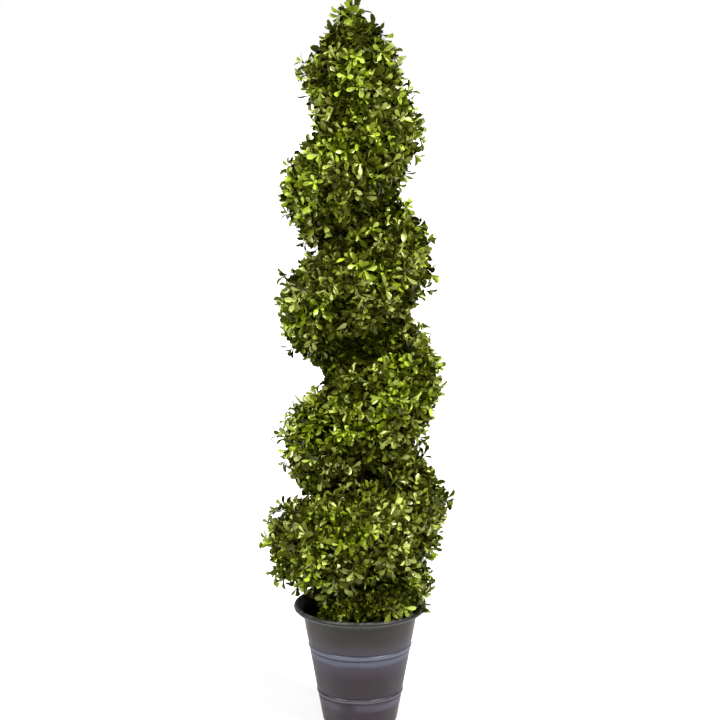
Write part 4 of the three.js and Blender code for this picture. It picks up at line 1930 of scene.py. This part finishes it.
@dataclass
class LeafTree:
    """Sets small spoon-shaped leaves on points, each with its own way, size and tone."""

    finishes: Sequence[LeafFinish]
    length: float = 0.0194
    width: float = 0.0083
    size_spread: float = 0.16
    rusted_share: float = 0.0002
    seed: int = 7
    forms: tuple[Range, ...] = ((0.16, 0.12), (0.42, 0.24), (0.58, 0.06), (0.12, 0.36))
    outline: tuple[Range, ...] = ((0.383, 0.42), (0.707, 0.98), (0.924, 0.70))
    weld_distance: float = 0.00002
    tree: GrowthTree = field(init=False)

    def __post_init__(self) -> None:
        """Builds the tree once."""
        self.tree = GrowthTree("Leaf setting")
        tree = self.tree
        length = tree.opening("Leaf Length")
        width = tree.opening("Leaf Width")
        spread = tree.opening("Size Spread")
        seed = tree.opening("Seed", "Int")
        blades = [self.blade(fold, curl, length, width) for fold, curl in self.forms]
        joined = tree.add("GeometryNodeJoinGeometry")
        for blade in reversed(blades):
            shape = tree.flow("GeometryNodeGeometryToInstance", {"Geometry": blade})
            tree.feed(joined.inputs[0], shape)
        ways = {
            "Primary Axis": tree.named("along", "FLOAT_VECTOR"),
            "Secondary Axis": tree.named("upper", "FLOAT_VECTOR"),
        }
        least = tree.sum("SUBTRACT", 1.0, spread)
        most = tree.sum("ADD", 1.0, spread)
        chance = tree.chance("FLOAT", least, most, seed)
        placing = {
            "Pick Instance": True,
            "Instance Index": tree.chance("INT", 0, len(self.forms) - 1, seed),
            "Rotation": tree.flow("FunctionNodeAxesToRotation", ways, primary_axis="Y", secondary_axis="Z"),
            "Scale": tree.sum("MULTIPLY", tree.named("size", "FLOAT"), chance),
        }
        geometry = tree.set_out(tree.source.outputs["Geometry"], joined.outputs[0], placing)
        tone = tree.named("tone", "INT")
        for finish in self.finishes:
            geometry = tree.coat(geometry, finish.material(), tree.same(tone, finish.tone.value))
        tree.close(geometry)

    def blade(self, fold: float, curl: float, length: Socket, width: Socket) -> Socket:
        """Shapes one blade from a grid of three by five points.

        Args:
            fold: How far the halves rise from the midrib, as a share of half the width.
            curl: How far the tip bends back, as a share of the length.
            length: The leaf's length.
            width: Its greatest width.

        Returns:
            The blade along +Y, with its upper face to +Z.
        """
        tree = self.tree
        sheet = {"Size X": 1.0, "Size Y": 1.0, "Vertices X": 3, "Vertices Y": 5}
        grid = tree.flow("GeometryNodeMeshGrid", sheet)
        position = tree.split(tree.flow("GeometryNodeInputPosition"))
        quarter = tree.sum("MULTIPLY", tree.sum("ADD", position["Y"], 0.5), math.pi / 2)
        share = tree.sum("SINE", quarter)
        outline = tree.add("ShaderNodeFloatCurve", {"Value": share})
        points = outline.mapping.curves[0].points
        points[0].location = (0.0, 0.0)
        points[1].location = (1.0, 0.0)
        for place, half in self.outline:
            points.new(place, half)
        outline.mapping.update()
        across = tree.sum("MULTIPLY", position["X"], tree.sum("MULTIPLY", outline.outputs[0], width))
        raised = tree.sum("MULTIPLY", tree.sum("ABSOLUTE", across), fold * 2)
        bend = tree.sum("MULTIPLY", tree.sum("POWER", share, 2.0), tree.sum("MULTIPLY", length, -curl))
        along = tree.sum("MULTIPLY", share, length)
        height = tree.sum("ADD", raised, bend)
        place = tree.flow("ShaderNodeCombineXYZ", {"X": across, "Y": along, "Z": height})
        shaped = tree.flow("GeometryNodeSetPosition", {"Geometry": grid, "Position": place})
        weld = {"Geometry": shaped, "Distance": self.weld_distance}
        merged = tree.flow("GeometryNodeMergeByDistance", weld)
        return tree.flow("GeometryNodeSetShadeSmooth", {"Geometry": merged})

    def set_leaves(self, name: str, mass: FoliageMass, growth: Growth, rng: Chance) -> bpy.types.Object:
        """Sets the leaves of one mass.

        Args:
            name: The new piece's name.
            mass: The mass that they belong to.
            growth: What it has grown.
            rng: The source of chance.

        Returns:
            All its leaves as one object.
        """
        root, along, upper, size, tone = mass.clear_of_hard_parts(growth, self.length)
        rusted = rng.random(len(tone)) < self.rusted_share
        tone = np.where(rusted, LeafTone.RUSTED.value, tone)
        points = bpy.data.meshes.new("leaf points")
        points.from_pydata(mass.rule.leaning(root).tolist(), [], [])
        store(points, "along", "FLOAT_VECTOR", along)
        store(points, "upper", "FLOAT_VECTOR", upper)
        store(points, "size", "FLOAT", size)
        store(points, "tone", "INT", tone)
        values = {
            "Leaf Length": self.length,
            "Leaf Width": self.width,
            "Size Spread": self.size_spread,
            "Seed": self.seed,
        }
        leaves = self.tree.grow(name, points, values)
        drop_attributes(leaves.data, ("along", "upper", "size", "tone"))
        return leaves


@dataclass
class ShootTree:
    """Gives chains of points the thickness of boughs and sprigs."""

    bark: ShootFinish
    green: ShootFinish
    sides: int = 3
    tree: GrowthTree = field(init=False)

    def __post_init__(self) -> None:
        """Builds the tree once."""
        self.tree = GrowthTree("Shoot thickness")
        tree = self.tree
        sides = tree.opening("Sides", "Int")
        curve = tree.flow("GeometryNodeMeshToCurve", {"Mesh": tree.source.outputs["Geometry"]})
        ring = tree.flow("GeometryNodeCurvePrimitiveCircle", {"Resolution": sides, "Radius": 1.0})
        width = tree.named("width", "FLOAT")
        sweep = {"Curve": curve, "Profile Curve": ring, "Scale": width, "Fill Caps": True}
        swept = tree.flow("GeometryNodeCurveToMesh", sweep)
        real = tree.flow("GeometryNodeRealizeInstances", {"Geometry": swept})
        bark = tree.coat(real, self.bark.material())
        young = tree.same(tree.named("woody", "INT"), 0)
        tree.close(tree.coat(bark, self.green.material(), young))

    def set_shoots(self, name: str, mass: FoliageMass, growth: Growth) -> bpy.types.Object:
        """Builds the shoots of one mass.

        Args:
            name: The new piece's name.
            mass: The mass that they belong to.
            growth: What it has grown.

        Returns:
            All its shoots as one object.
        """
        points: list[Array] = []
        edges: list[tuple[int, int]] = []
        total = 0
        for chains in growth.chains:
            count, steps = chains.shape[:2]
            points.append(chains.reshape(-1, 3))
            for i in range(count):
                first = total + i * steps
                edges.extend((first + step, first + step + 1) for step in range(steps - 1))
            total += count * steps
        mesh = bpy.data.meshes.new("shoot points")
        mesh.from_pydata(mass.rule.leaning(np.concatenate(points)).tolist(), edges, [])
        store(mesh, "width", "FLOAT", np.concatenate([width.ravel() for width in growth.widths]))
        store(mesh, "woody", "INT", np.concatenate([kind.ravel() for kind in growth.woody]))
        shoots = self.tree.grow(name, mesh, {"Sides": self.sides})
        drop_attributes(shoots.data, ("width", "woody"))
        return shoots


@dataclass
class Foliage:
    """All the masses: ten half turns and the tip."""

    rule: SpiralRule
    planter: Planter
    habit: SprayHabit = field(default_factory=SprayHabit)
    seed: int = 20318
    bark_finish: ShootFinish = ShootFinish("shoot_bark", (0.045, 0.034, 0.020))
    green_finish: ShootFinish = ShootFinish("shoot_green", (0.060, 0.075, 0.015))
    base_sprigs: tuple[LooseSprig, ...] = (
        LooseSprig((0.030, -0.055, 0.212), (0.046, -0.082, 0.238), (0.054, -0.101, 0.224), LeafTone.HALF_LIT_MATURE),
        LooseSprig((0.042, -0.050, 0.216), (0.064, -0.074, 0.240), (0.072, -0.090, 0.226), LeafTone.LIT_FRESH),
        LooseSprig((0.070, -0.036, 0.240), (0.098, -0.056, 0.262), (0.103, -0.066, 0.222), LeafTone.SHADED),
    )
    # One plain green for each tone: the lit tones paint light over the leaf's own green, and SHADED paints
    # shade.
    leaf_finishes: tuple[LeafFinish, ...] = (
        LeafFinish(LeafTone.SHADED, (0.022, 0.027, 0.001), 0.40, 0.3, (0.9, 1.0, 0.15)),
        LeafFinish(LeafTone.HALF_LIT_MATURE, (0.068, 0.081, 0.003), 0.33, 0.8, (1.0, 1.0, 0.40)),
        LeafFinish(LeafTone.LIT_FRESH, (0.154, 0.182, 0.009), 0.31, 0.9, (1.0, 1.0, 0.70)),
        LeafFinish(LeafTone.NEW, (0.346, 0.396, 0.062), 0.31, 1.0, (1.0, 1.0, 0.95)),
        LeafFinish(LeafTone.LUSH_HALF_LIT_MATURE, (0.061, 0.084, 0.001), 0.33, 0.8, (1.0, 1.0, 0.20)),
        LeafFinish(LeafTone.LUSH_LIT_FRESH, (0.141, 0.190, 0.002), 0.31, 0.9, (1.0, 1.0, 0.45)),
        LeafFinish(LeafTone.LUSH_FULLY_LIT_NEW, (0.312, 0.406, 0.018), 0.31, 1.0, (1.0, 1.0, 0.80)),
        LeafFinish(LeafTone.RUSTED, (0.300, 0.165, 0.025)),
    )

    def masses(self) -> list[FoliageMass]:
        """Lists the masses from the planter up.

        Returns:
            The masses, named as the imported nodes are.
        """
        found: list[FoliageMass] = []
        for half in range(round((self.rule.last_turn - self.rule.first_turn) * 2)):
            start = self.rule.first_turn + half / 2
            side = MassSide.FRONT if half % 2 == 0 else MassSide.BACK
            name = "base" if half == 0 else f"turn_{math.ceil(half / 2)}_{side.value}"
            loose = self.base_sprigs if half == 0 else ()
            found.append(StrandHalf(name, self.rule, self.planter, self.habit, loose=loose, start=start))
        floor_turn = self.rule.last_turn - 1
        found.append(Tip("tip", self.rule, self.planter, self.habit, floor_turn=floor_turn))
        return found

    def build(self) -> list[bpy.types.Object]:
        """Grows every mass.

        Returns:
            The leaves and twigs of all masses.
        """
        leaf_tree = LeafTree(self.leaf_finishes)
        shoot_tree = ShootTree(self.bark_finish, self.green_finish)
        pieces: list[bpy.types.Object] = []
        for number, mass in enumerate(self.masses()):
            pieces += mass.build(leaf_tree, shoot_tree, self.seed + number)
        return pieces


@dataclass
class Studio:
    """Pale floor, soft lights and the camera at the photograph's angle."""

    floor_half: float = 40.0
    camera_height: float = 1.18
    camera_distance: float = 3.0
    camera_tilt: float = math.radians(10.4)
    camera_range: float = 200.0
    lens: float = 91.36
    sky: float = 0.27
    right_from: Point = (2.1, -1.5, 2.3)
    right_strength: float = 5.2
    left_from: Point = (-2.2, -1.4, 2.2)
    left_strength: float = 3.9
    key_spread: float = math.radians(12)
    front_from: Point = (0.0, -3.4, 1.5)
    front_aim: Point = (0.0, 0.0, 0.6)
    front_size: float = 2.0
    front_power: float = 16.0

    def hang(self, lamp: bpy.types.Light, place: Point, aim: Point) -> None:
        """Hangs a lamp.

        Args:
            lamp: The lamp.
            place: Where it hangs.
            aim: The point that it faces.
        """
        hung = bpy.data.objects.new(lamp.name, lamp)
        hung.location = place
        hung.rotation_euler = (Vector(aim) - Vector(place)).to_track_quat("-Z", "Y").to_euler()
        bpy.context.scene.collection.objects.link(hung)

    def key_light(self, name: str, place: Point, strength: float) -> None:
        """Hangs a broad, distant light that reaches the whole floor evenly.

        Args:
            name: The light's name.
            place: Where it hangs; it faces the origin.
            strength: Its strength.
        """
        lamp = bpy.data.lights.new(name, "SUN")
        lamp.energy = strength
        lamp.angle = self.key_spread
        self.hang(lamp, place, (0.0, 0.0, 0.0))

    def front_light(self) -> None:
        """Hangs a square soft light in front."""
        lamp = bpy.data.lights.new("front_light", "AREA")
        lamp.shape = "SQUARE"
        lamp.size = self.front_size
        lamp.energy = self.front_power
        self.hang(lamp, self.front_from, self.front_aim)

    def lay_floor(self, effects: Effects) -> None:
        """Lays the floor.

        Args:
            effects: The shared surface effects.
        """
        half = self.floor_half
        mesh = bpy.data.meshes.new("floor")
        corners = [(-half, -half, 0.0), (half, -half, 0.0), (half, half, 0.0), (-half, half, 0.0)]
        mesh.from_pydata(corners, [], [(0, 1, 2, 3)])
        mesh.materials.append(FloorFinish().material(effects))
        new_object("floor", mesh)

    def raise_sky(self) -> None:
        """Surrounds the scene with white that looks brighter than the light it gives."""
        world = bpy.data.worlds.new("studio")
        world.use_nodes = True
        wiring = Wiring(world.node_tree)
        background = world.node_tree.nodes["Background"]
        background.inputs["Color"].default_value = (1.0, 1.0, 1.0, 1.0)
        seen = wiring.add("ShaderNodeLightPath").outputs["Is Camera Ray"]
        strength = wiring.sum("MULTIPLY_ADD", seen, 1.0 - self.sky, self.sky)
        wiring.feed(background.inputs["Strength"], strength)
        bpy.context.scene.world = world

    def set_camera(self) -> None:
        """Sets up the camera."""
        camera = bpy.data.cameras.new("camera")
        camera.lens = self.lens
        camera.clip_end = self.camera_range
        holder = bpy.data.objects.new("camera", camera)
        holder.location = (0.0, -self.camera_distance, self.camera_height)
        holder.rotation_euler = (math.pi / 2 - self.camera_tilt, 0.0, 0.0)
        scene = bpy.context.scene
        scene.collection.objects.link(holder)
        scene.camera = holder
        scene.view_settings.view_transform = "Standard"

    def build(self, effects: Effects) -> None:
        """Sets up the floor, the light and the camera.

        Args:
            effects: The shared surface effects.
        """
        self.lay_floor(effects)
        self.raise_sky()
        self.key_light("right_light", self.right_from, self.right_strength)
        self.key_light("left_light", self.left_from, self.left_strength)
        self.front_light()
        self.set_camera()


def main() -> None:
    logging.basicConfig(level=logging.INFO, format="%(message)s")
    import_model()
    effects = Effects()
    rule = SpiralRule()
    planter = Planter()
    Studio().build(effects)
    planter.build(effects)
    PottingFill(planter, rule).build(effects)
    Stem(rule).build(effects)
    Foliage(rule, planter).build()


if __name__ == "__main__":
    main()
